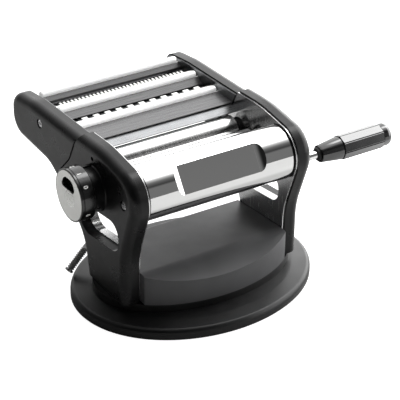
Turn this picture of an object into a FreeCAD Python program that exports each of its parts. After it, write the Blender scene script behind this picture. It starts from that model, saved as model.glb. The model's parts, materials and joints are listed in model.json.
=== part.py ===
import FreeCAD, Part
import math
import os

# Hand cranked pasta machine on a suction base, in millimetres.
# +X is the crank side, -X the thickness dial, -Y the front where the sheet
# comes out, +Z up. The origin is the middle of the oval base, on the table.

# Driving dimensions of the side frames
SHEET_HALF = 75.0        # half of the 150 mm sheet that the smooth rollers roll
END_ROOM = 9.0           # from the end of a roller's face to the side cover
INNER_HALF = SHEET_HALF + END_ROOM
PLATE_T = 2.0            # steel side plate
COVER_DEPTH = 17.0       # side cover, along X
COVER_WALL = 2.5
COVER_EDGE_R = 9.0       # rounding round the outer face of a cover
CAVITY_EDGE_R = 6.0
PLATE_INSET = 1.6        # plate outline inside the cover outline
SPLIT_GAP = 2.2          # gap between main body and cutter unit
FOOT_Z = 23.5            # where the legs stand on the plinth
FOOT_INSET = (8.0, 6.0)  # bent foot of a side plate, from the leg's front and back
FOOT_REACH = 11.0        # bent foot of a side plate, along X
BOSS_WALL = 2.2          # round a screw head inside a cover

# Front guard: a round chrome bar cover that the side covers follow
GUARD_Y = -27.5
GUARD_Z = 138.0
GUARD_R = 27.4
GUARD_T = 1.5
GUARD_MARGIN = 3.6       # how far the side cover's rim stands round it
GUARD_END_GAP = 0.5
RECESS_TILT = 35.0       # direction that the flat recess faces, degrees up
RECESS_DEPTH = 4.0
RECESS_HALF = 42.0
RECESS_SCOOP = 8.0       # length of each scooped end
RECESS_SLANT = 0.6       # share of the wall that the recess grows by inside
GUARD_CAP_T = 1.5
GUARD_CAP_IN = 0.6       # end cap's edge, inside the guard's outer face
GUARD_OPENING = ((2.0, -4.0), (-16.0, -40.0), (40.0, -40.0), (40.0, -4.0))

# Side outline
TOP_SLOPE = 6.1          # degrees, front half of the top edge
FRONT_LEAN = 19.0        # degrees from upright, below the guard
TOP_PEAK_Y = 10.0
TOP_PEAK_R = 150.0
LEG_FRONT_Y = -39.5
WAIST_R = 90.0
LEG_BACK_Y = 35.0
LEG_BEND = (43.5, 62.0)
LEG_BEND_R = 40.0
WING_BEND = (108.0, 108.6)
WING_BEND_R = 40.0
OUTLINE_FAR_Y = 125.0    # where the main outline ends, well past the split
OUTLINE_NEAR_Y = 20.0    # where the cutter unit's outline ends, well past the split
BACK_FALL = 0.075        # slope of the top edge behind its peak
LEG_LOW_Z = 5.0          # outlines end here, below the feet
LEG_BACK_IN = 4.0        # how far the back of the leg leans in at its foot
SPLIT = ((49.0, 169.0), (65.5, 136.0), (98.0, 101.4))
SPLIT_KNEE_R = 20.0
WINDOW = ((-30.0, 110.8, 15.0), (-30.0, 78.9, 14.0), (47.5, 68.1, 18.0), (47.5, 100.7, 10.0))
WINDOW_WALL = 2.5
WINDOW_LIP = 7.0         # drawn lip of the steel plate inside the window
WINDOW_LIP_T = 1.2

# Smooth rollers
ROLLER_R = 15.0
ROLLER_GAP = 2.4         # between the rollers at setting 2
GAP_STEP = 0.3           # change of the gap per setting
JOURNAL_R = 6.0
RUN = 0.05               # radial clearance of a running fit
BACK_ROLLER_Y = 47.5
ROLLER_Z = 129.0
BUSH_R = 9.0
BUSH_FLANGE = (2.0, 2.5)     # how far it stands out, and its thickness
ROLLER_END_IN = 1.0      # right end of the back roller, inside the cover's outer face
BLOCK_Y = 12.5           # half length of a sliding bearing block
BLOCK_Z = 9.0            # half height of a sliding bearing block
BLOCK_SIDES = (1.2, 0.6)     # how far a block stands out of its plate, inside and outside
BLOCK_CLEAR = 0.2        # left over at each end of the block's way
SCRAPER_CLEAR = 0.4      # between a smooth roller and the edge of its scraper
SCRAPER_ANGLE = 22.0     # edge of a scraper, degrees from straight under the axis
SCRAPER_T = 1.0
SCRAPER_EAR = 2.0
GEAR_GAP = 2.0           # from a side plate to the gears outside it
GEAR_W = 7.0
GEAR_TEETH = 15
GEAR_TIP_R = 17.3
GEAR_ROOT_R = 12.4

# Thickness dial
DIAL_Y = 15.5
DIAL_R = 26.5
DIAL_W = 15.5
DIAL_GAP = 2.0           # between the dial and the collar it turns against
COLLAR_R = 22.5
COLLAR_H = 10.0
COLLAR_BEAD = 0.9        # raised bead round the foot of the collar
POINTER_ANGLE = 75.0     # pointer on the collar, from straight back towards up
DETENT_R = 17.5
DIAL_FACE_T = 1.6
DIAL_FACE_R = 25.0
DIAL_GROOVE = 0.8        # groove round the rim, just behind the face
WELL_Y = 1.9             # middle of the finger hole, back from the dial's axis
WELL_LOW = 5.2           # straight lower edge of the finger hole, above the axis
WELL_OUTLINE = ((-10.2, 0.0, 2.5), (-14.0, 5.2, 4.0), (-8.5, 12.9, 6.0), (6.5, 12.9, 9.0),
                (13.6, 0.0, 2.5))
WELL_DEPTH = 5.5
DISH_R = 34.0            # ball that presses the thumb dish into the face
DISH_DEPTH = 1.2
DIAL_BORE_R = 7.5
DIMPLE_DEPTH = 0.5
WASHER_T = 1.2
SPRING_R = 6.4           # mean radius of the dial's spring
SPRING_WIRE_R = 0.5
SPRING_TURNS = 2
DIAL_TURNS = 32.7        # degrees from one setting to the next: ten numbers and one blank
DIAL_REST = 2            # setting at rest
DIAL_LAST = 9
SCROLL_R = 9.0           # radius of the spiral track at setting 0
SCROLL_PIN_R = 2.0
SCROLL_DISC_R = 15.5
SCROLL_CLEAR = 0.3
SCROLL_X = 2.4           # from the left plate to the scroll disc
SCROLL_T = 5.6
SHAFT_R = 6.0
SQUARE = 8.0             # square drive between dial shaft and dial
SQUARE_CLEAR = 0.1

# Crank
CRANK_ROD_R = 4.0
CRANK_ARM_GAP = 8.0      # from a side cover to the middle of the crank's arm
CRANK_BEND_R = 9.0
CRANK_HAND = (-26.0, 120.0)
CRANK_SOCKET = 30.0      # depth of the square socket
CRANK_SQUARE = 5.4
CRANK_MOUTH = 7.0        # depth of the round mouth before the square
GRIP_GAP = 13.0          # bare rod between the bend and the grip
GRIP_NOSE = 25.0
GRIP_BODY = 49.2
GRIP_CAP = 12.0
GRIP_NOSE_R = 9.0
GRIP_R = 13.2
GRIP_FLATS = 8

# Cutter unit
BAR_R = 3.6
BAR_Z = 156.4
BAR_Y = 165.0
BAR_PITCH = 39.0
BAR_END_GAP = 1.5        # from a bar's rounded end to the side plate
BAR_END_R = 2.8
GUIDE_T = 1.2
BACK_RUN = (7.5, 6.0, 3.0)       # a guide's sheet: forward, down, then its drop
MIDDLE_RUN = (11.0, 7.4, 0.6)
FRONT_RUN = (3.0, 0.6)           # down and drop; it runs forward to the split
FRONT_RUN_GAP = 9.0
NIP_BACK = 19.0          # from a bar forward to the nip of its cutter
CUTTER_SPACING = 17.0    # between the two rollers of a cutter
CUTTER_Z = 138.0
CUTTER_DISC_R = 8.9
CUTTER_GROOVE_R = 7.7
CUTTER_HALF = SHEET_HALF - 1.0
CUTTER_JOURNAL_R = 5.0
CUTTER_BUSH_R = 7.0
FINE_WIDTH = 2.15
WIDE_WIDTH = 6.5
CUTTER_GEAR_TEETH = 14
CUTTER_GEAR_TIP_R = 9.5
CUTTER_GEAR_ROOT_R = 7.2
COMB_TOOTH = 4.7
COMB_PLATE = 5.2
COMB_T = 1.0
COMB_SHARE = 0.24        # half of a comb's tooth, as a share of its pitch
HOOK_T = 2.0
HOOK_GAP = 0.2
HOOK_CLEAR = 0.15        # round the rod that the hook hangs on
HOOK_OUTLINE = ((-9.0, 9.0, 5.0), (-9.0, -9.0, 5.0), (12.0, -7.0, 4.0), (44.0, 2.0, 3.0),
                (44.0, 14.0, 3.0), (14.0, 16.0, 6.0))
HOOK_BRIDGE = ((33.0, 4.0, 2.0), (43.0, 4.0, 2.0), (43.0, 13.0, 2.0), (33.0, 13.0, 2.0))
HOOK_MOUTH = 30.0
SLIDE_TILT = 25.0        # direction in which the cutter unit comes off, degrees up
CUTTER_TOP = ((51.0, 166.0), (146.0, 161.2), (191.0, 154.5))
CUTTER_END_R = (17.0, 22.0)
CUTTER_TOP_R = 120.0
CUTTER_BASE_Z = 111.5
BLIND_HOLE = (18.8, 159.0)   # small blind hole in the left cover, above the dial

# Screws and rods
ROD_R = 4.0
SCREW_HEAD_R = 4.6
SCREW_SHANK_R = 2.5
SCREW_SINK = 3.2         # how deep a screw head lies in a cover
FRONT_ROD = (-39.1, 137.1)
BACK_ROD = (70.0, 112.0)
LOW_ROD = (-22.0, 44.0)
CUTTER_ROD = (127.0, 146.6)
CUTTER_LOW_ROD = (127.0, 118.0)
CUTTER_END_ROD = (176.0, 134.0)
NUT_R = 6.5
NUT_H = 6.5
SCREW_HEAD_H = 2.4
SCREW_SLOT = 2.6         # half length of the cross in a screw head
SCREW_LENGTH = 10.0      # how far a screw goes into its rod
FOOT_SCREW_Y = (-24.0, 22.0)
FOOT_SCREW_X = 6.0       # from the plate's outer side to the foot screws
FOOT_BOSS_R = 5.0
FOOT_HEAD = (4.5, 3.0)   # radius and height of a foot screw's head

# Oval base and suction cup
BASE_A = 127.5
BASE_B = 99.8
BASE_RIM_Z = 12.5
BASE_DOME_Z = 17.0
BASE_EDGE_R = 6.0
BASE_WALL = 2.5
PLINTH_A = 107.0
PLINTH_B = 70.0
PAD_H = 2.0
PAD_INSET = 1.5
PAD_W = 9.0
HOUSING_GAP = 0.5        # between the housing and each side plate
HOUSING_FRONT_Z = 56.0
HOUSING_BACK_Z = 47.0
HOUSING_BACK_Y = 44.0
HOUSING_CREST = (-42.0, 30.0)    # where the top turns down to the front, and its rounding
HOUSING_NOSE = (-90.0, 14.0)     # far front point of the top's line, and its drop
HOUSING_BACK_R = 4.0
DOME_FLAT_R = 60.0       # radius where the base dome gets flat
DOME_TURN = 75.0         # degrees of the rounding at the base's edge
CUP_GAP = 4.5            # between the suction cup's lip and the foot pad
CUP_LIP = 0.8            # how far the lip's rounding stands out
CUP_TOP_Z = 13.4
CUP_UNDER = ((0.0, 9.0), (0.36, 8.2), (0.71, 4.2), (0.88, 1.2), (1.0, 0.3))
CUP_OVER = ((0.905, 3.4), (0.726, 7.2), (0.369, 11.0))    # shares of the radius, heights
CUP_EDGE_Z = 0.9
CUP_HUB = 3.0            # how far the cup's hub stands out round the stem's flange
CUP_LIFT = 4.0           # how far the lever pulls the cup's middle
STEM_R = 6.0
STEM_FLANGE_R = 14.0

# Suction lever
LEVER_X = -INNER_HALF + 14.0
LEVER_Z = 33.0
LEVER_Y = 57.0
LEVER_W = 7.0
LEVER_HUB_R = 8.0
LEVER_SHAFT_R = 4.0
LEVER_REACH = ((-8.0, 38.0), (-17.5, 37.6), (-37.4, 16.8))   # X from its axis, Z
LEVER_BEND_R = 13.0
LEVER_BAR = 5.0
LEVER_GRIP_L = 25.0
LEVER_GRIP_R = 3.6
LEVER_CORE_R = 2.6
LEVER_RIBS = 11
LEVER_TURN = 70.0        # degrees that the lever swings up
CAM_R = 9.0
CAM_HALF = 6.0
CAM_CLEAR = 0.1
GUIDE_BUSH_R = 10.0
GUIDE_PLATE_T = 2.5
GUIDE_PLATE_HALF = 26.0
EAR_Y = (-14.5, 10.5)
EAR_T = 4.0
EAR_HALF = 6.5
POST_R = 3.0
POST_X = (LEVER_X + 26.0, LEVER_X + 48.0)
LIFT_PLATE_T = 3.0
LIFT_HALF = 9.0

V = FreeCAD.Vector
X_AXIS = V(1, 0, 0)
FAR = 2 * BASE_A         # reach of a cutting block, past everything


# Shape helpers
def box(x0, x1, y0, y1, z0, z1):
    return Part.makeBox(x1 - x0, y1 - y0, z1 - z0, V(x0, y0, z0))


def rod_x(r, y, z, x0, x1):
    return Part.makeCylinder(r, x1 - x0, V(x0, y, z), X_AXIS)


def rod_y(r, x, z, y0, y1):
    return Part.makeCylinder(r, y1 - y0, V(x, y0, z), V(0, 1, 0))


def rod_z(r, x, y, z0, z1):
    return Part.makeCylinder(r, z1 - z0, V(x, y, z0), V(0, 0, 1))


def unit(a, b):
    dy, dz = b[0] - a[0], b[1] - a[1]
    n = math.hypot(dy, dz)
    return dy / n, dz / n


def corner_arc(before, at, after, r):
    """Tangent points and middle point of a rounded corner."""
    u = unit(at, before)
    w = unit(at, after)
    half = math.acos(max(-1.0, min(1.0, u[0] * w[0] + u[1] * w[1]))) / 2
    reach = r / math.tan(half)
    p = (at[0] + u[0] * reach, at[1] + u[1] * reach)
    q = (at[0] + w[0] * reach, at[1] + w[1] * reach)
    m = unit((0, 0), (u[0] + w[0], u[1] + w[1]))
    out = r / math.sin(half) - r
    return p, (at[0] + m[0] * out, at[1] + m[1] * out), q


def outline(points, place):
    """Closed wire through rounded corners; place turns a pair into a vector."""
    n = len(points)
    edges = []
    last = None
    first = None
    for i in range(n):
        at = points[i]
        if len(at) > 2 and at[2] > 0:
            p, m, q = corner_arc(points[i - 1], at, points[(i + 1) % n], at[2])
            arc = Part.Arc(place(p), place(m), place(q)).toShape()
        else:
            p = q = (at[0], at[1])
            arc = None
        if last is not None:
            edges.append(Part.LineSegment(place(last), place(p)).toShape())
        else:
            first = p
        if arc is not None:
            edges.append(arc)
        last = q
    if math.hypot(last[0] - first[0], last[1] - first[1]) > 1e-6:
        edges.append(Part.LineSegment(place(last), place(first)).toShape())
    return Part.Wire(edges)


def side_wire(points, x=0.0):
    return outline(points, lambda p: V(x, p[0], p[1]))


def slab_x(points, x0, x1):
    """A side outline, given as (y, z) or (y, z, radius), thickened along X."""
    return Part.Face(side_wire(points, x0)).extrude(V(x1 - x0, 0, 0))


def inset(points, d):
    """The same outline moved inwards by d, corner radii following."""
    n = len(points)
    area = 0.0
    for i in range(n):
        a, b = points[i], points[(i + 1) % n]
        area += a[0] * b[1] - b[0] * a[1]
    turn = 1.0 if area > 0 else -1.0
    out = []
    for i in range(n):
        a, b, c = points[i - 1], points[i], points[(i + 1) % n]
        u, w = unit(a, b), unit(b, c)
        nu = (-u[1] * turn, u[0] * turn)
        nw = (-w[1] * turn, w[0] * turn)
        k = d / (1 + nu[0] * nw[0] + nu[1] * nw[1])
        convex = (u[0] * w[1] - u[1] * w[0]) * turn > 0
        r = b[2] if len(b) > 2 else 0.0
        if r > 0:
            r = max(r - d, 0.3) if convex else r + d
        out.append((b[0] + (nu[0] + nw[0]) * k, b[1] + (nu[1] + nw[1]) * k, r))
    return out


def revolve_x(points, y, z):
    """Turn (x, radius) points about the X line through (y, z)."""
    wire = Part.makePolygon([V(x, y, z + r) for x, r in points + [points[0]]])
    return Part.Face(wire).revolve(V(0, y, z), X_AXIS, 360)


def revolve_z(points, a, b):
    """Turn (radius, z) points about Z and squash the circle to the ratio b / a."""
    wire = Part.makePolygon([V(r, 0, z) for r, z in points + [points[0]]])
    solid = Part.Face(wire).revolve(V(0, 0, 0), V(0, 0, 1), 360)
    return squash(solid, b / a)


def squash(solid, ratio):
    m = FreeCAD.Matrix()
    m.scale(1, ratio, 1)
    return solid.transformGeometry(m)


def oval(a, b, z0, z1):
    """Upright elliptical cylinder."""
    edge = Part.Ellipse(V(0, 0, z0), a, b).toShape()
    return Part.Face(Part.Wire(edge)).extrude(V(0, 0, z1 - z0))


def other_side(shape):
    return shape.mirror(V(0, 0, 0), X_AXIS)


def square_x(width, y, z, x0, x1):
    h = width / 2
    return box(x0, x1, y - h, y + h, z - h, z + h)


def gear_x(teeth, tip_r, root_r, root_w, tip_w, y, z, x0, x1, bore):
    """Spur gear about X with straight sided teeth, one tooth pointing at +Y."""
    points = []
    for i in range(teeth):
        a = 2 * math.pi * i / teeth
        for r, w in ((root_r, -root_w), (tip_r, -tip_w), (tip_r, tip_w), (root_r, root_w)):
            t = a + math.atan2(w / 2, r)
            points.append((y + r * math.cos(t), z + r * math.sin(t)))
    body = slab_x(points, x0, x1)
    return body.cut(rod_x(bore, y, z, x0 - 1, x1 + 1))


nodes = {}


def save(name, *shapes):
    solids = []
    for s in shapes:
        solids += s.Solids
    shape = solids[0] if len(solids) == 1 else Part.makeCompound(solids)
    for s in solids:
        if not s.isValid() or s.Volume <= 0:
            print("PROBLEM", name, "valid", s.isValid(), "volume", s.Volume)
    nodes[name] = shape
    shape.exportStep("parts/%s.step" % name)


# Outlines that several pieces share
def main_outline():
    """Whole outline of the main body, past the split and below the feet."""
    r = GUARD_R + GUARD_MARGIN
    top = math.radians(TOP_SLOPE)
    lean = math.radians(FRONT_LEAN)
    half = (math.pi / 2 - lean + top) / 2
    mid = math.pi + (top - (math.pi / 2 - lean)) / 2
    corner = (GUARD_Y + math.cos(mid) * r / math.sin(half),
              GUARD_Z + math.sin(mid) * r / math.sin(half))
    peak = corner[1] + (TOP_PEAK_Y - corner[0]) * math.tan(top)
    waist = corner[1] - (LEG_FRONT_Y - corner[0]) / math.tan(lean)
    slope = (WING_BEND[1] - LEG_BEND[1]) / (WING_BEND[0] - LEG_BEND[0])
    far = OUTLINE_FAR_Y
    return [(far, peak - (far - TOP_PEAK_Y) * BACK_FALL), (TOP_PEAK_Y, peak, TOP_PEAK_R),
            (corner[0], corner[1], r), (LEG_FRONT_Y, waist, WAIST_R),
            (LEG_FRONT_Y, LEG_LOW_Z), (LEG_BACK_Y - LEG_BACK_IN, LEG_LOW_Z),
            (LEG_BEND[0], LEG_BEND[1], LEG_BEND_R),
            (far, LEG_BEND[1] + slope * (far - LEG_BEND[0]))]


def cutter_outline():
    """Whole outline of the cutter unit, past the split."""
    top_rise = (CUTTER_TOP[0][1] - CUTTER_TOP[1][1]) / (CUTTER_TOP[1][0] - CUTTER_TOP[0][0])
    near = OUTLINE_NEAR_Y
    slope = (WING_BEND[1] - LEG_BEND[1]) / (WING_BEND[0] - LEG_BEND[0])
    return [(near, CUTTER_TOP[0][1] + top_rise * (CUTTER_TOP[0][0] - near)),
            (near, LEG_BEND[1] + slope * (near - LEG_BEND[0])),
            (WING_BEND[0], WING_BEND[1], WING_BEND_R),
            (CUTTER_TOP[2][0], CUTTER_BASE_Z, CUTTER_END_R[1]),
            (CUTTER_TOP[2][0], CUTTER_TOP[2][1], CUTTER_END_R[0]),
            (CUTTER_TOP[1][0], CUTTER_TOP[1][1], CUTTER_TOP_R)]


def split_tool(shift, behind):
    """Block on one side of the split line, moved by shift along +Y."""
    line = [(y + shift, z) for y, z in SPLIT]
    up = (line[0][0] + (line[0][0] - line[1][0]), line[0][1] + (line[0][1] - line[1][1]))
    down = (line[2][0] + (line[2][0] - line[1][0]), line[2][1] + (line[2][1] - line[1][1]))
    far = FAR if behind else -FAR
    low = -FAR
    points = [up, (line[1][0], line[1][1], SPLIT_KNEE_R), down, (down[0], low), (far, low), (far, up[1])]
    return slab_x(points, 0, FAR)


def window_tool(grow, x0, x1):
    return slab_x(inset(WINDOW, -grow), x0, x1)


# Side covers
def cover_form(points, behind):
    """Right hand cover: rounded outer edge, hollow towards the plate."""
    x0 = INNER_HALF
    x1 = INNER_HALF + COVER_DEPTH
    blank = slab_x(points, x0, x1)
    rim = [e for e in blank.Edges if e.BoundBox.XMin > x1 - 0.01]
    blank = blank.makeFillet(COVER_EDGE_R, rim)
    core_x = x1 - COVER_WALL
    core = slab_x(inset(points, COVER_WALL), x0 - 1, core_x)
    LEVER_CORE_Rim = [e for e in core.Edges if e.BoundBox.XMin > core_x - 0.01]
    core = core.makeFillet(CAVITY_EDGE_R, LEVER_CORE_Rim)
    half_gap = SPLIT_GAP / 2 if behind else -SPLIT_GAP / 2
    wall = COVER_WALL * 1.1 if behind else -COVER_WALL * 1.1
    blank = blank.common(split_tool(half_gap, behind))
    core = core.common(split_tool(half_gap + wall, behind))
    return blank, core


def main_cover():
    blank, core = cover_form(main_outline(), False)
    x0 = INNER_HALF
    x1 = INNER_HALF + COVER_DEPTH
    blank = blank.cut(box(0, FAR, -FAR, FAR, -FAR, FOOT_Z))
    core = core.cut(window_tool(WINDOW_WALL, 0, FAR))
    cover = blank.cut(core).cut(window_tool(0, 0, FAR))
    y, z = FRONT_ROD
    cover = cover.fuse(rod_x(SCREW_HEAD_R + BOSS_WALL, y, z, x0, x1 - 1).common(blank))
    return cover.removeSplitter().cut(rod_x(SCREW_SHANK_R + 0.3, y, z, x0 - 1, x1 + 1))


def cutter_cover():
    blank, core = cover_form(cutter_outline(), True)
    x0 = INNER_HALF
    x1 = INNER_HALF + COVER_DEPTH
    cover = blank.cut(core)
    y, z = CUTTER_ROD
    step_x = GEAR_X0 + GEAR_W + 1.0
    boss = [rod_x(SCREW_SHANK_R + 1.1, y, z, x0, step_x),
            rod_x(SCREW_HEAD_R + BOSS_WALL, y, z, step_x, x1 - 1).common(blank)]
    cover = cover.fuse(boss).removeSplitter()
    cover = cover.cut(rod_x(SCREW_SHANK_R + 0.3, y, z, x0 - 1, x1 + 1))
    return cover.cut(screw_seat(CUTTER_ROD))


def screw_seat(spot):
    """Round recess for a screw head in the outer face of a cover."""
    return rod_x(SCREW_HEAD_R + 0.4, spot[0], spot[1], OUTER_X - SCREW_SINK, OUTER_X + 1)


def roller_places():
    """Axis of the front roller at rest and of the back roller."""
    return BACK_ROLLER_Y - 2 * ROLLER_R - ROLLER_GAP, BACK_ROLLER_Y


FRONT_ROLLER_Y, BACK_AXIS_Y = roller_places()
OUTER_X = INNER_HALF + COVER_DEPTH
PLATE_X = INNER_HALF - PLATE_T
COLLAR_X = OUTER_X + COLLAR_H
DIAL_X0 = COLLAR_X + DIAL_GAP
DIAL_X1 = DIAL_X0 + DIAL_W
GEAR_X0 = INNER_HALF + GEAR_GAP
CRANK_ARM_X = OUTER_X + CRANK_ARM_GAP
CUP_R = BASE_B - PAD_INSET - PAD_W - CUP_GAP - CUP_LIP

FOOT_BOSS_Z = BASE_DOME_Z - BASE_WALL - 4.0
BLOCK_SLOT = ((DIAL_LAST - DIAL_REST) * GAP_STEP, DIAL_REST * GAP_STEP)


def make_covers():
    base = main_cover()
    gear_room = rod_x(GEAR_TIP_R + 0.5, BACK_AXIS_Y, ROLLER_Z, INNER_HALF - 1, GEAR_X0 + GEAR_W + 1)
    right = base.cut([rod_x(JOURNAL_R + 5.0, BACK_AXIS_Y, ROLLER_Z, INNER_HALF, OUTER_X + 5), gear_room])
    save("right_cover", right)
    left = other_side(base.cut(screw_seat(FRONT_ROD)))
    left = left.fuse(rod_x(COLLAR_R, DIAL_Y, ROLLER_Z, -COLLAR_X, -OUTER_X + COVER_WALL))
    left = left.fuse([collar_bead(), pointer()]).removeSplitter()
    left = left.cut(rod_x(COLLAR_R - 3.0, DIAL_Y, ROLLER_Z, -COLLAR_X + 2.5, -INNER_HALF + 1)
                    .cut(window_tool(WINDOW_WALL, -FAR, FAR)))
    left = left.cut(rod_x(SHAFT_R + RUN, DIAL_Y, ROLLER_Z, -COLLAR_X - 1, -INNER_HALF + 1))
    for step in range(DIAL_LAST + 1):
        y, z = detent_spot(step)
        left = left.cut(rod_x(1.8, y, z, -COLLAR_X - 1, -COLLAR_X + DIMPLE_DEPTH))
    left = left.cut(rod_x(2.4, BLIND_HOLE[0], BLIND_HOLE[1], -OUTER_X - 1, -OUTER_X + 1.2))
    save("left_cover", left)
    cutter = cutter_cover()
    driven = [(fine_axes()[0], CUTTER_Z), (wide_axes()[0], CUTTER_Z)]
    right = cutter
    for y, z in driven:
        right = right.cut(rod_x(CUTTER_JOURNAL_R + 2.0, y, z, INNER_HALF, OUTER_X + 5))
    save("right_cutter_cover", right)
    save("left_cutter_cover", other_side(cutter))


def collar_bead():
    """Low coned ring where the collar rises from the cover."""
    low_x, top_x = -OUTER_X + 1.0, -OUTER_X - COLLAR_BEAD
    wide = COLLAR_R + COLLAR_BEAD
    section = [(low_x, COLLAR_R - 1), (top_x, COLLAR_R - 1), (top_x, wide - 0.4), (low_x, wide + 0.6)]
    return revolve_x(section, DIAL_Y, ROLLER_Z)


def pointer():
    """Small raised pointer on the collar, above the dial's axis."""
    a = math.radians(POINTER_ANGLE)
    y = DIAL_Y + COLLAR_R * math.cos(a)
    z = ROLLER_Z + COLLAR_R * math.sin(a)
    return rod_x(2.4, y, z, -COLLAR_X, -OUTER_X + 0.5)


# Steel side plates
def plate_form(points, behind):
    shift = SPLIT_GAP / 2 if behind else -SPLIT_GAP / 2
    plate = slab_x(inset(points, PLATE_INSET), PLATE_X, INNER_HALF)
    return plate.common(split_tool(shift, behind))


def main_plate():
    plate = plate_form(main_outline(), False)
    plate = plate.cut(box(0, FAR, -FAR, FAR, -FAR, FOOT_Z))
    foot_y0, foot_y1 = LEG_FRONT_Y + FOOT_INSET[0], LEG_BACK_Y - FOOT_INSET[1]
    foot = box(PLATE_X, INNER_HALF + FOOT_REACH, foot_y0, foot_y1, FOOT_Z, FOOT_Z + PLATE_T)
    lip = window_tool(0, PLATE_X, INNER_HALF + WINDOW_LIP)
    lip = lip.cut(window_tool(-WINDOW_LIP_T, 0, FAR))
    plate = plate.cut(window_tool(0, 0, FAR)).fuse([foot, lip]).removeSplitter()
    y0 = FRONT_ROLLER_Y - BLOCK_Y - BLOCK_SLOT[1] - BLOCK_CLEAR
    y1 = FRONT_ROLLER_Y + BLOCK_Y + BLOCK_SLOT[0] + BLOCK_CLEAR
    plate = plate.cut(box(0, FAR, y0, y1, ROLLER_Z - BLOCK_Z - RUN, ROLLER_Z + BLOCK_Z + RUN))
    plate = plate.cut(rod_x(BUSH_R, BACK_AXIS_Y, ROLLER_Z, 0, FAR))
    for y, z in (FRONT_ROD, BACK_ROD, LOW_ROD):
        plate = plate.cut(rod_x(SCREW_SHANK_R, y, z, 0, FAR))
    for y in FOOT_SCREW_Y:
        plate = plate.cut(rod_z(SCREW_SHANK_R, INNER_HALF + FOOT_SCREW_X, y, 0, FOOT_Z + PLATE_T + 1))
    return plate


def cutter_plate():
    """Cutter side plate with the hook that hangs on the main body's back rod."""
    plate = plate_form(cutter_outline(), True)
    for axes in (fine_axes(), wide_axes()):
        for y in axes:
            plate = plate.cut(rod_x(CUTTER_BUSH_R, y, CUTTER_Z, 0, FAR))
    for y, z in (CUTTER_ROD, CUTTER_LOW_ROD, CUTTER_END_ROD):
        plate = plate.cut(rod_x(SCREW_SHANK_R, y, z, 0, FAR))
    y, z = BACK_ROD
    x1 = PLATE_X - HOOK_GAP
    hook = slab_x([(y + dy, z + dz, r) for dy, dz, r in HOOK_OUTLINE], x1 - HOOK_T, x1)
    bridge = slab_x([(y + dy, z + dz, r) for dy, dz, r in HOOK_BRIDGE], x1 - 0.1, INNER_HALF - 0.5)
    a = math.radians(SLIDE_TILT)
    reach = HOOK_MOUTH
    w = ROD_R + HOOK_CLEAR
    slot = slab_x([(y - w * math.sin(a), z + w * math.cos(a)),
                   (y - w * math.sin(a) - reach * math.cos(a), z + w * math.cos(a) - reach * math.sin(a)),
                   (y + w * math.sin(a) - reach * math.cos(a), z - w * math.cos(a) - reach * math.sin(a)),
                   (y + w * math.sin(a), z - w * math.cos(a))], 0, FAR)
    hook = hook.cut(slot).cut(rod_x(w, y, z, 0, FAR))
    return plate.fuse([hook, bridge]).removeSplitter()


def make_plates():
    plate = main_plate()
    save("right_side_plate", plate)
    save("left_side_plate", other_side(plate))
    plate = cutter_plate()
    save("right_cutter_plate", plate)
    save("left_cutter_plate", other_side(plate))


# Rods, screws and nuts
def make_fasteners():
    long = PLATE_X
    save("tie_rods", *[tie_rod(y, z, long) for y, z in (FRONT_ROD, BACK_ROD, LOW_ROD)])
    head_x = OUTER_X - SCREW_SINK
    seats = [(FRONT_ROD, head_x), (BACK_ROD, INNER_HALF), (LOW_ROD, INNER_HALF)]
    save("left_rod_screws", *[screw(p, x) for p, x in seats])
    save("right_rod_nuts", *[cap_nut(p, OUTER_X if x > INNER_HALF else INNER_HALF) for p, x in seats])
    spots = (CUTTER_ROD, CUTTER_LOW_ROD, CUTTER_END_ROD)
    save("cutter_tie_rods", *[tie_rod(y, z, long) for y, z in spots])
    seats = [(CUTTER_ROD, head_x), (CUTTER_LOW_ROD, INNER_HALF), (CUTTER_END_ROD, INNER_HALF)]
    left = [screw(p, x) for p, x in seats]
    save("cutter_screws", *(left + [other_side(s) for s in left]))
    feet = []
    head_r, head_h = FOOT_HEAD
    for x, y in foot_screw_spots():
        shank = rod_z(SCREW_SHANK_R - 0.1, x, y, FOOT_BOSS_Z, FOOT_Z + PLATE_T + 1)
        feet.append(shank.fuse(rod_z(head_r, x, y, FOOT_BOSS_Z - head_h, FOOT_BOSS_Z)))
    save("foot_screws", *feet)


def foot_screw_spots():
    """The four screws that hold the side plates' feet from below."""
    x = INNER_HALF + FOOT_SCREW_X
    return [(side * x, y) for side in (1, -1) for y in FOOT_SCREW_Y]


def tie_rod(y, z, half):
    """Round rod between the plates, threaded at each end."""
    rod = rod_x(ROD_R, y, z, -half, half)
    depth = SCREW_LENGTH + 2
    for x in (-half - 1, half - depth):
        rod = rod.cut(rod_x(SCREW_SHANK_R, y, z, x, x + depth + 1))
    return rod


def screw(spot, head_x):
    """Button head screw from the left, its head seated at head_x."""
    y, z = spot
    shank = rod_x(SCREW_SHANK_R - 0.1, y, z, -head_x, -PLATE_X + SCREW_LENGTH)
    top_x = -head_x - SCREW_HEAD_H
    floor_x = -head_x - SCREW_HEAD_H / 2
    head = rod_x(SCREW_HEAD_R, y, z, top_x, -head_x)
    head = head.makeFillet(SCREW_HEAD_H / 2, [e for e in head.Edges if e.BoundBox.XMax < top_x + 0.1])
    slot = box(top_x - 1, floor_x, y - 0.6, y + 0.6, z - SCREW_SLOT, z + SCREW_SLOT)
    slot = slot.fuse(box(top_x - 1, floor_x, y - SCREW_SLOT, y + SCREW_SLOT, z - 0.6, z + 0.6))
    return shank.fuse(head).removeSplitter().cut(slot)


def cap_nut(spot, seat_x):
    """Domed nut with its own stud into the rod from the right."""
    y, z = spot
    nut = rod_x(NUT_R, y, z, seat_x, seat_x + NUT_H)
    nut = nut.makeFillet(4.0, [e for e in nut.Edges if e.BoundBox.XMin > seat_x + NUT_H - 0.5])
    return nut.fuse(rod_x(SCREW_SHANK_R - 0.1, y, z, PLATE_X - SCREW_LENGTH, seat_x)).removeSplitter()


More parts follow.
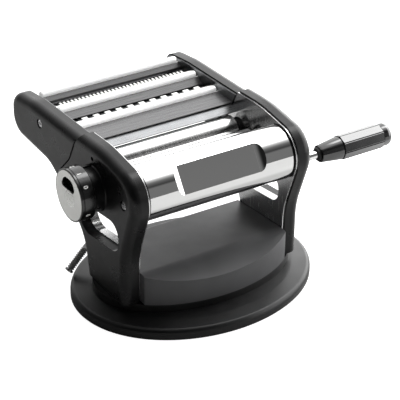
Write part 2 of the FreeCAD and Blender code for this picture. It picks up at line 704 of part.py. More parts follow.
# Front guard
def recess_tool(deeper):
    """Prism that presses the flat recess into the guard, deeper by a wall."""
    floor = GUARD_R - RECESS_DEPTH - deeper
    half = RECESS_HALF + deeper * RECESS_SLANT
    end = half + RECESS_SCOOP
    top = GUARD_R + 6.0
    lift = GUARD_R - deeper * RECESS_SLANT

    def place(p):
        return V(p[0], -GUARD_R * 1.5, p[1])
    mid = (half + RECESS_SCOOP * 0.72, floor + (lift - floor) * 0.42)
    edges = [Part.LineSegment(place((-half, floor)), place((half, floor))).toShape(),
             Part.Arc(place((half, floor)), place(mid), place((end, lift))).toShape(),
             Part.LineSegment(place((end, lift)), place((end, top))).toShape(),
             Part.LineSegment(place((end, top)), place((-end, top))).toShape(),
             Part.LineSegment(place((-end, top)), place((-end, lift))).toShape(),
             Part.Arc(place((-end, lift)), place((-mid[0], mid[1])), place((-half, floor))).toShape()]
    tool = Part.Face(Part.Wire(edges)).extrude(V(0, GUARD_R * 3, 0))
    tool.rotate(V(0, 0, 0), X_AXIS, 90 - RECESS_TILT)
    tool.translate(V(0, GUARD_Y, GUARD_Z))
    return tool


def make_guard():
    half = PLATE_X - GUARD_END_GAP - GUARD_CAP_T
    outer = rod_x(GUARD_R, GUARD_Y, GUARD_Z, -half, half).cut(recess_tool(0))
    inner = rod_x(GUARD_R - GUARD_T, GUARD_Y, GUARD_Z, -half - 1, half + 1).cut(recess_tool(GUARD_T))
    guard = outer.cut(inner)
    points = [(GUARD_Y + dy, GUARD_Z + dz) for dy, dz in GUARD_OPENING]
    save("front_guard", guard.cut(slab_x(points, -half - 2, half + 2)))
    caps = []
    points = [(y + 1, z - 1) for y, z in points]
    for x in (-half - GUARD_CAP_T, half):
        cap = rod_x(GUARD_R - GUARD_CAP_IN, GUARD_Y, GUARD_Z, x, x + GUARD_CAP_T)
        cap = cap.cut(slab_x(points, x - 1, x + 3))
        caps.append(cap.cut(rod_x(ROD_R + 0.1, FRONT_ROD[0], FRONT_ROD[1], x - 1, x + 3)))
    save("guard_end_caps", *caps)


# Smooth rollers, their bearings and gears
def make_rollers():
    gear_x1 = GEAR_X0 + GEAR_W
    half = SHEET_HALF
    end_x = OUTER_X - ROLLER_END_IN
    back = revolve_x([(-PLATE_X - 5, 0), (-PLATE_X - 5, JOURNAL_R), (-half, JOURNAL_R),
                      (-half, ROLLER_R), (half, ROLLER_R), (half, JOURNAL_R),
                      (end_x, JOURNAL_R), (end_x, 0)], BACK_AXIS_Y, ROLLER_Z)
    socket = square_x(CRANK_SQUARE + 2 * SQUARE_CLEAR, BACK_AXIS_Y, ROLLER_Z,
                      end_x - CRANK_SOCKET, OUTER_X)
    mouth = rod_x(CRANK_ROD_R + RUN, BACK_AXIS_Y, ROLLER_Z, OUTER_X - CRANK_MOUTH, OUTER_X)
    save("back_roller", back.cut(socket).cut(mouth))
    front = revolve_x([(-INNER_HALF, 0), (-INNER_HALF, JOURNAL_R), (-half, JOURNAL_R),
                       (-half, ROLLER_R), (half, ROLLER_R), (half, JOURNAL_R),
                       (gear_x1 + 1, JOURNAL_R), (gear_x1 + 1, 0)], FRONT_ROLLER_Y, ROLLER_Z)
    save("front_roller", front)
    for name, y in (("back_roller_gear", BACK_AXIS_Y), ("front_roller_gear", FRONT_ROLLER_Y)):
        save(name, gear_x(GEAR_TEETH, GEAR_TIP_R, GEAR_ROOT_R, 2.9, 1.2, y, ROLLER_Z,
                          GEAR_X0, gear_x1, JOURNAL_R))
    bush = rod_x(BUSH_R, BACK_AXIS_Y, ROLLER_Z, PLATE_X, INNER_HALF)
    out, thick = BUSH_FLANGE
    bush = bush.fuse(rod_x(BUSH_R + out, BACK_AXIS_Y, ROLLER_Z, PLATE_X - thick, PLATE_X))
    bush = bush.removeSplitter().cut(rod_x(JOURNAL_R + RUN, BACK_AXIS_Y, ROLLER_Z, 0, FAR))
    save("back_roller_bushes", bush, other_side(bush))
    block = box(PLATE_X - BLOCK_SIDES[0], INNER_HALF + BLOCK_SIDES[1],
                FRONT_ROLLER_Y - BLOCK_Y, FRONT_ROLLER_Y + BLOCK_Y,
                ROLLER_Z - BLOCK_Z, ROLLER_Z + BLOCK_Z)
    block = block.cut(rod_x(JOURNAL_R + RUN, FRONT_ROLLER_Y, ROLLER_Z, 0, FAR))
    save("right_bearing_block", block)
    pin_y = DIAL_Y + SCROLL_R + DIAL_REST * GAP_STEP
    pin = rod_x(SCROLL_PIN_R, pin_y, ROLLER_Z, -INNER_HALF - SCROLL_X - 3.0, -INNER_HALF)
    save("left_bearing_block", other_side(block).fuse(pin).removeSplitter())


def scraper(y_axis, side, x_half):
    """Thin steel strip whose edge runs just under a smooth roller."""
    edge_r = ROLLER_R + SCRAPER_CLEAR
    a = math.radians(-90 + side * SCRAPER_ANGLE)
    t = SCRAPER_T
    tip = (y_axis + edge_r * math.cos(a), ROLLER_Z + edge_r * math.sin(a))
    foot = (y_axis - side * 3.0, ROLLER_Z - ROLLER_R - 3.2)
    tail = (foot[0] - side * 7.5, foot[1] + 1.2)
    strip = slab_x([tip, (foot[0], foot[1] + t), tail, (tail[0], tail[1] - t),
                    foot, (tip[0], tip[1] - t)], -x_half, x_half)
    return strip, tail


def make_scrapers():
    ear = SCRAPER_EAR
    half = PLATE_X - BLOCK_SIDES[0]
    strip, tail = scraper(FRONT_ROLLER_Y, 1, half)
    ears = []
    for x in (-half, half - ear):
        ears.append(box(x, x + ear, tail[0], tail[0] + 5, tail[1] - SCRAPER_T, ROLLER_Z - BLOCK_Z + 3))
    save("front_scraper", strip.fuse(ears).removeSplitter())
    strip, tail = scraper(BACK_AXIS_Y, -1, PLATE_X - ear)
    ears = []
    for x in (-PLATE_X, PLATE_X - ear):
        ears.append(box(x, x + ear, tail[0] - 8, tail[0] + 1, tail[1] - 2, tail[1] + 3))
    save("back_scraper", strip.fuse(ears).removeSplitter())


# Feed guides on top
def guide(bar_y, bar_z, run):
    """Rolled edge bar with a sheet that runs forward and down by run, then drops."""
    end = PLATE_X - BAR_END_GAP
    bar = rod_x(BAR_R, bar_y, bar_z, -end, end)
    bar = bar.makeFillet(BAR_END_R, [e for e in bar.Edges if e.BoundBox.XLength < 0.01])
    y0, z0 = bar_y - 2.2, bar_z - 1.9
    y1, z1 = bar_y - run[0], bar_z - run[1]
    drop = run[2]
    sheet = [(y0, z0), (y1, z1), (y1, z1 - drop), (y1 + GUIDE_T, z1 - drop),
             (y1 + GUIDE_T, z1 - 0.2), (y0 + 1.2, z0 - GUIDE_T)]
    return bar.fuse(slab_x(sheet, -PLATE_X, PLATE_X)).removeSplitter()


def comb(bar_y, width):
    """Flat comb behind a bar, one tooth for every second strip."""
    y0 = bar_y + BAR_R + 0.02
    y1 = y0 + COMB_PLATE
    z0 = BAR_Z - 1.2
    pitch = 2 * width
    shape = box(-PLATE_X + 1, PLATE_X - 1, y0 - 1.4, y1, z0, z0 + COMB_T)
    bar = rod_x(BAR_R + 0.01, bar_y, BAR_Z, -PLATE_X, PLATE_X)
    shape = shape.cut(bar)
    count = int(2 * CUTTER_HALF / pitch)
    start = -count * pitch / 2
    teeth = []
    for i in range(count):
        x = start + (i + 0.5) * pitch
        half = pitch * COMB_SHARE
        teeth.append(box(x - half, x + half, y1 - 0.5, y1 + COMB_TOOTH, z0, z0 + COMB_T))
    return shape.fuse(teeth).removeSplitter()


def make_guides():
    back, middle, front = [BAR_Y - i * BAR_PITCH for i in range(3)]
    save("back_guide", guide(back, BAR_Z, BACK_RUN))
    save("middle_guide", guide(middle, BAR_Z, MIDDLE_RUN))
    save("fine_comb", comb(middle, FINE_WIDTH))
    run = front - SPLIT[0][0] - FRONT_RUN_GAP
    save("front_guide", guide(front, BAR_Z, (run,) + FRONT_RUN))
    save("wide_comb", comb(front, WIDE_WIDTH))
    lip_y = BACK_AXIS_Y + 13.5
    shelf_z = BAR_Z - 4.6
    low = (BACK_AXIS_Y + 4.0, ROLLER_Z + ROLLER_R + 1.6)
    sheet = [(lip_y, shelf_z), low, (low[0] + 0.8, low[1] - 1.1), (lip_y + 0.6, shelf_z - 1.3),
             (lip_y + 0.6, shelf_z - 12.0), (lip_y + 1.8, shelf_z - 12.0), (lip_y + 1.8, shelf_z)]
    save("feed_guide", slab_x(sheet, -PLATE_X, PLATE_X))


# Cutter rollers
def fine_axes():
    nip = BAR_Y - NIP_BACK
    return nip - CUTTER_SPACING / 2, nip + CUTTER_SPACING / 2


def wide_axes():
    nip = BAR_Y - BAR_PITCH - NIP_BACK
    return nip - CUTTER_SPACING / 2, nip + CUTTER_SPACING / 2


def cutter_roller(y, width, shift, right_x, left_x, socket):
    """Turned cutter with discs and grooves; the pair's discs interleave."""
    side_clear = 0.06
    pitch = 2 * width
    count = int(2 * CUTTER_HALF / pitch)
    start = -count * pitch / 2 + (width if shift else 0.0)
    points = [(-left_x, 0), (-left_x, CUTTER_JOURNAL_R), (-CUTTER_HALF - 2, CUTTER_JOURNAL_R),
              (-CUTTER_HALF - 2, CUTTER_GROOVE_R)]
    for i in range(count):
        x0 = start + i * pitch + side_clear
        x1 = start + i * pitch + width - side_clear
        points += [(x0, CUTTER_GROOVE_R), (x0, CUTTER_DISC_R), (x1, CUTTER_DISC_R), (x1, CUTTER_GROOVE_R)]
    points += [(CUTTER_HALF + 2, CUTTER_GROOVE_R), (CUTTER_HALF + 2, CUTTER_JOURNAL_R),
               (right_x, CUTTER_JOURNAL_R), (right_x, 0)]
    roller = revolve_x(points, y, CUTTER_Z)
    if socket:
        roller = roller.cut(square_x(CRANK_SQUARE + 2 * SQUARE_CLEAR, y, CUTTER_Z,
                                     right_x - 22, right_x + 1))
    return roller


def make_cutters():
    gear_x1 = GEAR_X0 + GEAR_W
    sets = (("fine", fine_axes(), FINE_WIDTH, 1), ("wide", wide_axes(), WIDE_WIDTH, -1))
    bushes = []
    for name, axes, width, gear_side in sets:
        for place, y in zip(("front", "back"), axes):
            socket = place == "front"
            ends = [INNER_HALF + 0.8, gear_x1 + 0.5]
            right_x = OUTER_X - 2 if socket else ends[gear_side > 0]
            left_x = ends[gear_side < 0]
            save("%s_cutter_%s" % (name, place),
                 cutter_roller(y, width, not socket, right_x, left_x, socket))
            x0, x1 = GEAR_X0, gear_x1
            if gear_side < 0:
                x0, x1 = -gear_x1, -GEAR_X0
            gear = gear_x(CUTTER_GEAR_TEETH, CUTTER_GEAR_TIP_R, CUTTER_GEAR_ROOT_R, 1.7, 0.7,
                          0, 0, x0, x1, CUTTER_JOURNAL_R)
            if place == "back":
                gear.rotate(V(0, 0, 0), X_AXIS, 180.0 / CUTTER_GEAR_TEETH)
            gear.translate(V(0, y, CUTTER_Z))
            save("%s_gear_%s" % (name, place), gear)
            bush = rod_x(CUTTER_BUSH_R, y, CUTTER_Z, PLATE_X, INNER_HALF + 0.5)
            bush = bush.cut(rod_x(CUTTER_JOURNAL_R + RUN, y, CUTTER_Z, 0, FAR))
            bushes += [bush, other_side(bush)]
    save("cutter_bushes", *bushes)


# Thickness dial
def spiral_track():
    """Track in the scroll disc: its radius grows by one gap step per setting."""
    r = SCROLL_PIN_R + SCROLL_CLEAR / 2
    inner, outer = [], []
    steps = 36
    first = -DIAL_REST * DIAL_TURNS
    last = (DIAL_LAST - DIAL_REST) * DIAL_TURNS
    for i in range(steps + 1):
        turn = first + (last - first) * i / steps
        radius = SCROLL_R + GAP_STEP * (turn / DIAL_TURNS + DIAL_REST)
        a = math.radians(-turn)
        inner.append((DIAL_Y + (radius - r) * math.cos(a), ROLLER_Z + (radius - r) * math.sin(a)))
        outer.append((DIAL_Y + (radius + r) * math.cos(a), ROLLER_Z + (radius + r) * math.sin(a)))
    x0, x1 = -INNER_HALF - SCROLL_X - 3.4, -INNER_HALF
    track = slab_x(outer + inner[::-1], x0, x1)
    for turn, setting in ((first, 0), (last, DIAL_LAST)):
        radius = SCROLL_R + GAP_STEP * setting
        a = math.radians(-turn)
        track = track.fuse(rod_x(r, DIAL_Y + radius * math.cos(a), ROLLER_Z + radius * math.sin(a), x0, x1))
    return track


def dial_x(depth):
    """X of a plane that lies depth behind the dial's face."""
    return -DIAL_X1 + depth


def make_dial():
    disc_x = -INNER_HALF - SCROLL_X
    washer_x = dial_x(WELL_DEPTH + 0.5)
    shoulder_x = dial_x(DIAL_W - 4.0)
    disc = rod_x(SCROLL_DISC_R, DIAL_Y, ROLLER_Z, disc_x - SCROLL_T, disc_x)
    disc = disc.cut(spiral_track())
    shaft = rod_x(SHAFT_R, DIAL_Y, ROLLER_Z, -COLLAR_X, disc_x - SCROLL_T)
    drive = square_x(SQUARE, DIAL_Y, ROLLER_Z, washer_x + WASHER_T, -COLLAR_X)
    stop = rod_x(3.0, DIAL_Y, ROLLER_Z, washer_x - 0.6, washer_x + WASHER_T)
    save("dial_shaft", disc.fuse([shaft, drive, stop]).removeSplitter())
    knob = rod_x(DIAL_R, DIAL_Y, ROLLER_Z, -DIAL_X1, -DIAL_X0)
    rims = [e for e in knob.Edges if abs(e.BoundBox.XLength) < 0.01]
    knob = knob.makeFillet(0.8, rims)
    face_room = rod_x(DIAL_FACE_R, DIAL_Y, ROLLER_Z, -DIAL_X1 - 1, dial_x(DIAL_FACE_T))
    back_room = rod_x(DIAL_R - 3.0, DIAL_Y, ROLLER_Z, dial_x(DIAL_W - 2.0), -DIAL_X0 + 1)
    groove = rod_x(DIAL_R + 1, DIAL_Y, ROLLER_Z, dial_x(2.6), dial_x(2.6 + DIAL_GROOVE))
    groove = groove.cut(rod_x(DIAL_R - DIAL_GROOVE, DIAL_Y, ROLLER_Z, -DIAL_X1, -DIAL_X0))
    bore = rod_x(DIAL_BORE_R, DIAL_Y, ROLLER_Z, -DIAL_X1, shoulder_x)
    key = square_x(SQUARE + 2 * SQUARE_CLEAR, DIAL_Y, ROLLER_Z, -DIAL_X1, -DIAL_X0 + 1)
    well = finger_well()
    save("dial_knob", knob.cut([face_room, back_room, groove, bore, key, well]))
    face = rod_x(DIAL_FACE_R - 0.1, DIAL_Y, ROLLER_Z, -DIAL_X1, dial_x(DIAL_FACE_T))
    dish = Part.makeSphere(DISH_R, V(dial_x(DISH_DEPTH) - DISH_R, DIAL_Y - 1.5, ROLLER_Z - 2.5))
    save("dial_face", face.cut([well, dish]))
    save("dial_spring", dial_coil(washer_x + WASHER_T + 0.1, shoulder_x - 0.1))
    washer = rod_x(DIAL_BORE_R - 0.3, DIAL_Y, ROLLER_Z, washer_x, washer_x + WASHER_T)
    save("dial_washer", washer.cut(rod_x(3.0, DIAL_Y, ROLLER_Z, -DIAL_X1, -DIAL_X0)))
    y, z = detent_spot(0)
    save("detent_pin", rod_x(1.5, y, z, -DIAL_X0 - 2.0, -COLLAR_X - RUN))


def detent_spot(step):
    """Place of the detent pin, or of the dimple that is step settings away."""
    a = math.radians(POINTER_ANGLE + step * DIAL_TURNS)
    return DIAL_Y + DETENT_R * math.cos(a), ROLLER_Z + DETENT_R * math.sin(a)


def dial_coil(x0, x1):
    """Coil spring round the square of the dial shaft, one unbroken wire."""
    r = SPRING_WIRE_R
    pitch = (x1 - x0 - 2 * r) / SPRING_TURNS
    print("dial spring gap to itself", round(pitch - 2 * r, 2), "mm")
    edges = []
    for i in range(2 * SPRING_TURNS):
        points = []
        for k in range(3):
            turn = (i + k / 2.0) / 2.0
            a = 2 * math.pi * turn
            points.append(V(x0 + r + pitch * turn, DIAL_Y + SPRING_R * math.cos(a),
                            ROLLER_Z + SPRING_R * math.sin(a)))
        edges.append(Part.Arc(points[0], points[1], points[2]).toShape())
    path = Part.Wire(edges)
    start = path.Edges[0]
    ring = Part.Wire(Part.makeCircle(r, start.valueAt(start.FirstParameter),
                                     start.tangentAt(start.FirstParameter)))
    return path.makePipeShell([ring], True, False)


def finger_well():
    """Half moon finger hole in the dial, above its axis."""
    cy, low = DIAL_Y + WELL_Y, ROLLER_Z + WELL_LOW
    points = [(cy + y, low + z, r) for y, z, r in WELL_OUTLINE]
    return slab_x(points, -DIAL_X1 - 1, dial_x(WELL_DEPTH))


# Crank
def make_crank():
    r = CRANK_ROD_R
    by, bz = BACK_AXIS_Y, ROLLER_Z
    hy, hz = CRANK_HAND
    u = unit((by, bz), (hy, hz))
    d = V(0, u[0], u[1])
    start = V(OUTER_X - CRANK_MOUTH, by, bz)
    a1 = V(CRANK_ARM_X - CRANK_BEND_R, by, bz)
    c1 = V(CRANK_ARM_X, by, bz)
    hand = V(CRANK_ARM_X, hy, hz)
    grip_x0 = CRANK_ARM_X + CRANK_BEND_R + GRIP_GAP
    grip_x1 = grip_x0 + GRIP_NOSE + GRIP_BODY + GRIP_CAP
    end = V(grip_x1 - 6, hy, hz)
    k = CRANK_BEND_R
    s = math.sqrt(0.5)
    first_mid = c1 - X_AXIS * (k * (1 - s)) + d * (k * (1 - s))
    second_mid = hand - d * (k * (1 - s)) + X_AXIS * (k * (1 - s))
    path = Part.Wire([Part.LineSegment(start, a1).toShape(),
                      Part.Arc(a1, first_mid, c1 + d * k).toShape(),
                      Part.LineSegment(c1 + d * k, hand - d * k).toShape(),
                      Part.Arc(hand - d * k, second_mid, hand + X_AXIS * k).toShape(),
                      Part.LineSegment(hand + X_AXIS * k, end).toShape()])
    ring = Part.Wire(Part.makeCircle(r, start, X_AXIS))
    rod = path.makePipeShell([ring], True, False)
    square = square_x(CRANK_SQUARE, by, bz, OUTER_X - CRANK_SOCKET + 2, OUTER_X - CRANK_MOUTH)
    save("crank_rod", rod.fuse(square).removeSplitter())
    save("crank_grip", grip_form(grip_x0, grip_x1, hy, hz))
    collar = rod_x(6.5, hy, hz, grip_x0 - 2.2, grip_x0 - 0.2)
    save("grip_collar", collar.cut(rod_x(r, hy, hz, 0, FAR)))


def grip_form(x0, x1, y, z):
    """Grip with a coned nose and flats round its body."""
    body_x = x0 + GRIP_NOSE
    cap_x = x1 - GRIP_CAP
    grip = revolve_x([(x0, 0), (x0, GRIP_NOSE_R - 0.6), (x0 + 0.6, GRIP_NOSE_R),
                      (body_x - 2.0, GRIP_R - 1.2), (body_x, GRIP_R - 0.6), (body_x, GRIP_R),
                      (cap_x, GRIP_R), (cap_x + 0.6, GRIP_R - 0.9), (x1 - 4.0, GRIP_R - 1.4),
                      (x1 - 1.2, GRIP_R - 3.4), (x1, GRIP_R - 6.4), (x1, 0)], y, z)
    grooves = []
    for i in range(GRIP_FLATS):
        a = 2 * math.pi * (i + 0.5) / GRIP_FLATS
        grooves.append(rod_x(1.1, y + (GRIP_R + 0.3) * math.cos(a), z + (GRIP_R + 0.3) * math.sin(a),
                             body_x + 1.5, cap_x - 0.5))
    grip = grip.cut(grooves)
    return grip.cut(rod_x(CRANK_ROD_R + RUN, y, z, x0 - 1, x1 - 5.8))


# Oval base
def base_profile(inward):
    """Half outline of the base dome, (radius along X, z)."""
    a = BASE_A - inward
    low = PAD_H
    top = BASE_DOME_Z - inward
    rim = BASE_RIM_Z - inward
    r = BASE_EDGE_R
    points = [(0, low), (a, low)]
    steps = 6
    for i in range(steps + 1):
        t = math.radians(DOME_TURN * i / steps)
        points.append((a - r + r * math.cos(t), rim - r + r * math.sin(t)))
    edge_r, edge_z = points[-1]
    for i in range(1, 5):
        t = i / 4.0
        points.append((edge_r - t * (edge_r - DOME_FLAT_R), edge_z + (top - edge_z) * (1 - (1 - t) ** 2)))
    points.append((0, top))
    return points


def make_base():
    outer = revolve_z(base_profile(0), BASE_A, BASE_B)
    core_points = [(r, z if z > PAD_H + 0.1 else PAD_H - 1) for r, z in base_profile(BASE_WALL)]
    core = revolve_z(core_points, BASE_A, BASE_B)
    plinth = oval(PLINTH_A, PLINTH_B, BASE_DOME_Z - 6, FOOT_Z)
    hollow = oval(PLINTH_A - BASE_WALL, PLINTH_B - BASE_WALL, PAD_H - 1, FOOT_Z - BASE_WALL)
    shell = outer.fuse(plinth).cut(core).cut(hollow)
    shell = shell.cut([rod_z(GUIDE_BUSH_R + 0.1, 0, 0, 0, FAR), cam_slot(0, FAR)])
    for x, y in foot_screw_spots():
        boss = rod_z(FOOT_BOSS_R, x, y, FOOT_BOSS_Z, FOOT_Z - 0.5)
        shell = shell.fuse(boss).cut(rod_z(SCREW_SHANK_R, x, y, 0, FAR))
    save("base_shell", shell)
    pad_a, pad_b = BASE_A - PAD_INSET, BASE_B - PAD_INSET
    pad = oval(pad_a, pad_b, 0, PAD_H).cut(oval(pad_a - PAD_W, pad_b - PAD_W, -1, PAD_H + 1))
    save("foot_pad", pad)


def housing_form(shrink, z0):
    """Housing between the legs: curved front, sloping top, upright back."""
    half = PLATE_X - HOUSING_GAP - shrink
    back = HOUSING_BACK_Y - shrink
    crest_y, crest_r = HOUSING_CREST
    nose_y, drop = HOUSING_NOSE
    front_z = HOUSING_FRONT_Z - shrink
    block = oval(PLINTH_A - shrink, PLINTH_B - shrink, z0, HOUSING_FRONT_Z + 1)
    top = slab_x([(nose_y, z0), (back, z0), (back, HOUSING_BACK_Z - shrink, HOUSING_BACK_R),
                  (crest_y, front_z, crest_r), (nose_y, front_z - drop)], -half, half)
    return block.common(top)


def make_housing():
    outer = housing_form(0, FOOT_Z)
    inner = housing_form(BASE_WALL, FOOT_Z - 1)
    shell = outer.cut(inner)
    shell = shell.cut(rod_x(ROD_R + 0.2, LOW_ROD[0], LOW_ROD[1], -FAR, FAR))
    shell = shell.cut(rod_y(LEVER_SHAFT_R + RUN, LEVER_X, LEVER_Z, 0, FAR))
    save("mechanism_housing", shell)


# Suction cup and the lever that pulls it
def make_suction():
    hub_r = STEM_FLANGE_R + CUP_HUB
    under = [(CUP_R * share, z) for share, z in CUP_UNDER]
    over = [(CUP_R + CUP_LIP, CUP_EDGE_Z)] + [(CUP_R * share, z) for share, z in CUP_OVER]
    over += [(hub_r + 1, 12.0), (hub_r, CUP_TOP_Z), (0, CUP_TOP_Z)]
    wire = Part.makePolygon([V(r, 0, z) for r, z in under + over + [under[0]]])
    cup = Part.Face(wire).revolve(V(0, 0, 0), V(0, 0, 1), 360)
    save("suction_cup", cup)
    plate_z = cam_centre()[1] + CAM_R + CAM_CLEAR
    plate = box(LEVER_X - 8, STEM_R + 6, -LIFT_HALF, LIFT_HALF, plate_z, plate_z + LIFT_PLATE_T)
    for x in POST_X:
        plate = plate.cut(rod_z(POST_R + RUN, x, 0, 0, FAR))
    save("lift_plate", plate.cut(rod_z(STEM_R - 2, 0, 0, 0, FAR)))
    flange_z = CUP_TOP_Z + 0.3
    stem = rod_z(STEM_FLANGE_R, 0, 0, flange_z, flange_z + 2)
    stem = stem.fuse([rod_z(STEM_R, 0, 0, flange_z + 2, plate_z),
                      rod_z(STEM_R - 2, 0, 0, plate_z, plate_z + LIFT_PLATE_T)])
    save("cup_stem", stem.removeSplitter())
    cx, cz = cam_centre()
    shaft = rod_y(LEVER_SHAFT_R, LEVER_X, LEVER_Z, -16, LEVER_Y + LEVER_W / 2)
    cam = rod_y(CAM_R, cx, cz, -CAM_HALF, CAM_HALF)
    save("cam_shaft", shaft.fuse(cam).removeSplitter())
    make_lever()
    make_stem_guide()


def cam_centre():
    """Centre of the round cam at rest, set so that its lift is nearly even."""
    reach = CUP_LIFT / (2 * math.sin(math.radians(LEVER_TURN / 2)))
    a = math.radians(90 - LEVER_TURN / 2)
    return LEVER_X + reach * math.sin(a), LEVER_Z + reach * math.cos(a)


def cam_slot(z0, z1):
    """Room for the cam below its shaft."""
    return box(LEVER_X - CAM_R - 5, LEVER_X + CAM_R + 8, -CAM_HALF - 1.5, CAM_HALF + 1.5, z0, z1)


def make_stem_guide():
    """Plate on the plinth with the stem's bush, two posts and the cam shaft's ears."""
    top = FOOT_Z + GUIDE_PLATE_T
    plate = box(LEVER_X - 8, STEM_R + 14, -GUIDE_PLATE_HALF, GUIDE_PLATE_HALF, FOOT_Z, top)
    bush = rod_z(GUIDE_BUSH_R, 0, 0, FOOT_Z - 4, FOOT_Z + 10)
    posts = [rod_z(POST_R, x, 0, FOOT_Z, HOUSING_BACK_Z + 1) for x in POST_X]
    ears = []
    for y in EAR_Y:
        ears.append(box(LEVER_X - EAR_HALF, LEVER_X + EAR_HALF, y, y + EAR_T, FOOT_Z, LEVER_Z + EAR_HALF))
    frame = plate.fuse([bush] + posts + ears).removeSplitter()
    frame = frame.cut(cam_slot(0, top)).cut(rod_z(STEM_R + RUN, 0, 0, 0, FAR))
    save("stem_guide", frame.cut(rod_y(LEVER_SHAFT_R + RUN, LEVER_X, LEVER_Z, -30, 30)))


def make_lever():
    y0, y1 = LEVER_Y - LEVER_W / 2, LEVER_Y + LEVER_W / 2

    def place(p):
        return V(p[0], y0, p[1])
    hub = rod_y(LEVER_HUB_R, LEVER_X, LEVER_Z, y0, y1)
    knee, bend, tip = [(LEVER_X + x, z) for x, z in LEVER_REACH]
    u = unit(bend, tip)
    h = LEVER_BAR / 2
    root = (LEVER_X, LEVER_Z)
    upper = [(root[0], root[1] + LEVER_HUB_R - 0.5), (knee[0], knee[1] + h + 1.5, 14.0),
             (bend[0] + u[1] * h * -1, bend[1] + h + 0.8, LEVER_BEND_R)]
    n = (-u[1], u[0])
    end_hi = (tip[0] - n[0] * h, tip[1] - n[1] * h)
    end_lo = (tip[0] + n[0] * h, tip[1] + n[1] * h)
    if end_hi[1] < end_lo[1]:
        end_hi, end_lo = end_lo, end_hi
    lower = [(bend[0] + 1.5, bend[1] - h - 0.6, LEVER_BEND_R - LEVER_BAR),
             (knee[0] + 2, knee[1] - h - 3.0, 8.0),
             (root[0], root[1] - LEVER_HUB_R + 1.5)]
    wire = outline(upper + [end_hi, end_lo] + lower, place)
    arm = Part.Face(wire).extrude(V(0, LEVER_W, 0))
    lever = hub.fuse(arm).removeSplitter()
    lever = lever.cut(rod_y(LEVER_SHAFT_R, LEVER_X, LEVER_Z, y0 - 1, y1 + 1))
    back = (tip[0] - u[0] * LEVER_GRIP_L, tip[1] - u[1] * LEVER_GRIP_L)
    axis = V(u[0], 0, u[1])
    start = V(back[0], LEVER_Y, back[1])
    pitch = LEVER_GRIP_L / LEVER_RIBS
    sleeve = None
    for i in range(LEVER_RIBS):
        at = start + axis * (pitch * i)
        rib = Part.makeCylinder(LEVER_GRIP_R + 1.0, pitch * 0.62, at, axis)
        core = Part.makeCylinder(LEVER_GRIP_R + 0.3, pitch * 1.02, at, axis)
        piece = rib.fuse(core)
        sleeve = piece if sleeve is None else sleeve.fuse(piece)
    block = Part.makeCylinder(LEVER_GRIP_R + 3, LEVER_GRIP_L + 0.4, start, axis)
    lever = lever.cut(block)
    core = Part.makeCylinder(LEVER_CORE_R, LEVER_GRIP_L + 3.0, start - axis * 0.5, axis)
    tip_disc = Part.makeCylinder(LEVER_GRIP_R + 0.8, 2.2, start + axis * (LEVER_GRIP_L + 0.8), axis)
    save("suction_lever", lever.fuse([core, tip_disc]).removeSplitter())
    sleeve = sleeve.removeSplitter().cut(Part.makeCylinder(LEVER_CORE_R, 60, start - axis * 10, axis))
    save("lever_sleeve", sleeve)


os.makedirs("parts", exist_ok=True)
make_covers()
make_plates()
make_fasteners()
make_guard()
make_rollers()
make_scrapers()
make_guides()
make_cutters()
make_dial()
make_crank()
make_base()
make_housing()
make_suction()
print(len(nodes), "nodes")
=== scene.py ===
"""Looks of a hand cranked pasta machine, dressed over its packed construction.

Lengths are metres in the construction's own frame: +X towards the crank, -Y towards the
front, +Z up. Laid out as an add-on, and run as a script.
"""
import json
import math

import bpy
from mathutils import Matrix, Vector

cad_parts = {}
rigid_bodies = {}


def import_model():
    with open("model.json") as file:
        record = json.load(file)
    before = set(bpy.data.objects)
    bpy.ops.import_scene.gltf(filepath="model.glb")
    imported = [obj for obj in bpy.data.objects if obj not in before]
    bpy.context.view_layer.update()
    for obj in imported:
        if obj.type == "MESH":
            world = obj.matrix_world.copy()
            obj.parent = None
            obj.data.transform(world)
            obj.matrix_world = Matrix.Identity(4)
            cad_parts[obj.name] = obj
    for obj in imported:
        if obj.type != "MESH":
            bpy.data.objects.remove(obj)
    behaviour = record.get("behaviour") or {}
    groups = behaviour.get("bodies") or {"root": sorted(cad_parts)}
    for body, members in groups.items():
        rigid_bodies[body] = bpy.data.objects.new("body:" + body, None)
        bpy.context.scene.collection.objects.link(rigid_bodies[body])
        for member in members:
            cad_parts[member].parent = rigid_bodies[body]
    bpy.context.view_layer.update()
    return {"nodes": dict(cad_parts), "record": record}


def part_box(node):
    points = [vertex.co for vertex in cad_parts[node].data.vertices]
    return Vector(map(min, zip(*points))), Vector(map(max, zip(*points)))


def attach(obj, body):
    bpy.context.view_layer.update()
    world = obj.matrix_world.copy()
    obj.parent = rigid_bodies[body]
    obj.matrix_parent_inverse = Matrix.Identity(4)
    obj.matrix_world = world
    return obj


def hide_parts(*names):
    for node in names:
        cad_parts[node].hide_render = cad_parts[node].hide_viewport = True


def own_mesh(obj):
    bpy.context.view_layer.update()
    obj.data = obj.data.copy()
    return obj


bl_info = {
    "name": "Pasta Machine Looks",
    "version": (1, 0, 0),
    "blender": (4, 5, 0),
    "location": "3D View > Sidebar > Pasta Machine",
    "description": "Finishes, soft parts, numbers and studio for a hand cranked pasta machine",
    "category": "Object",
}

for leftover in list(bpy.data.objects):
    bpy.data.objects.remove(leftover)
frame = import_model()
NODES = frame["nodes"]

MM = 0.001
WHITE = (1.0, 1.0, 1.0, 1.0)

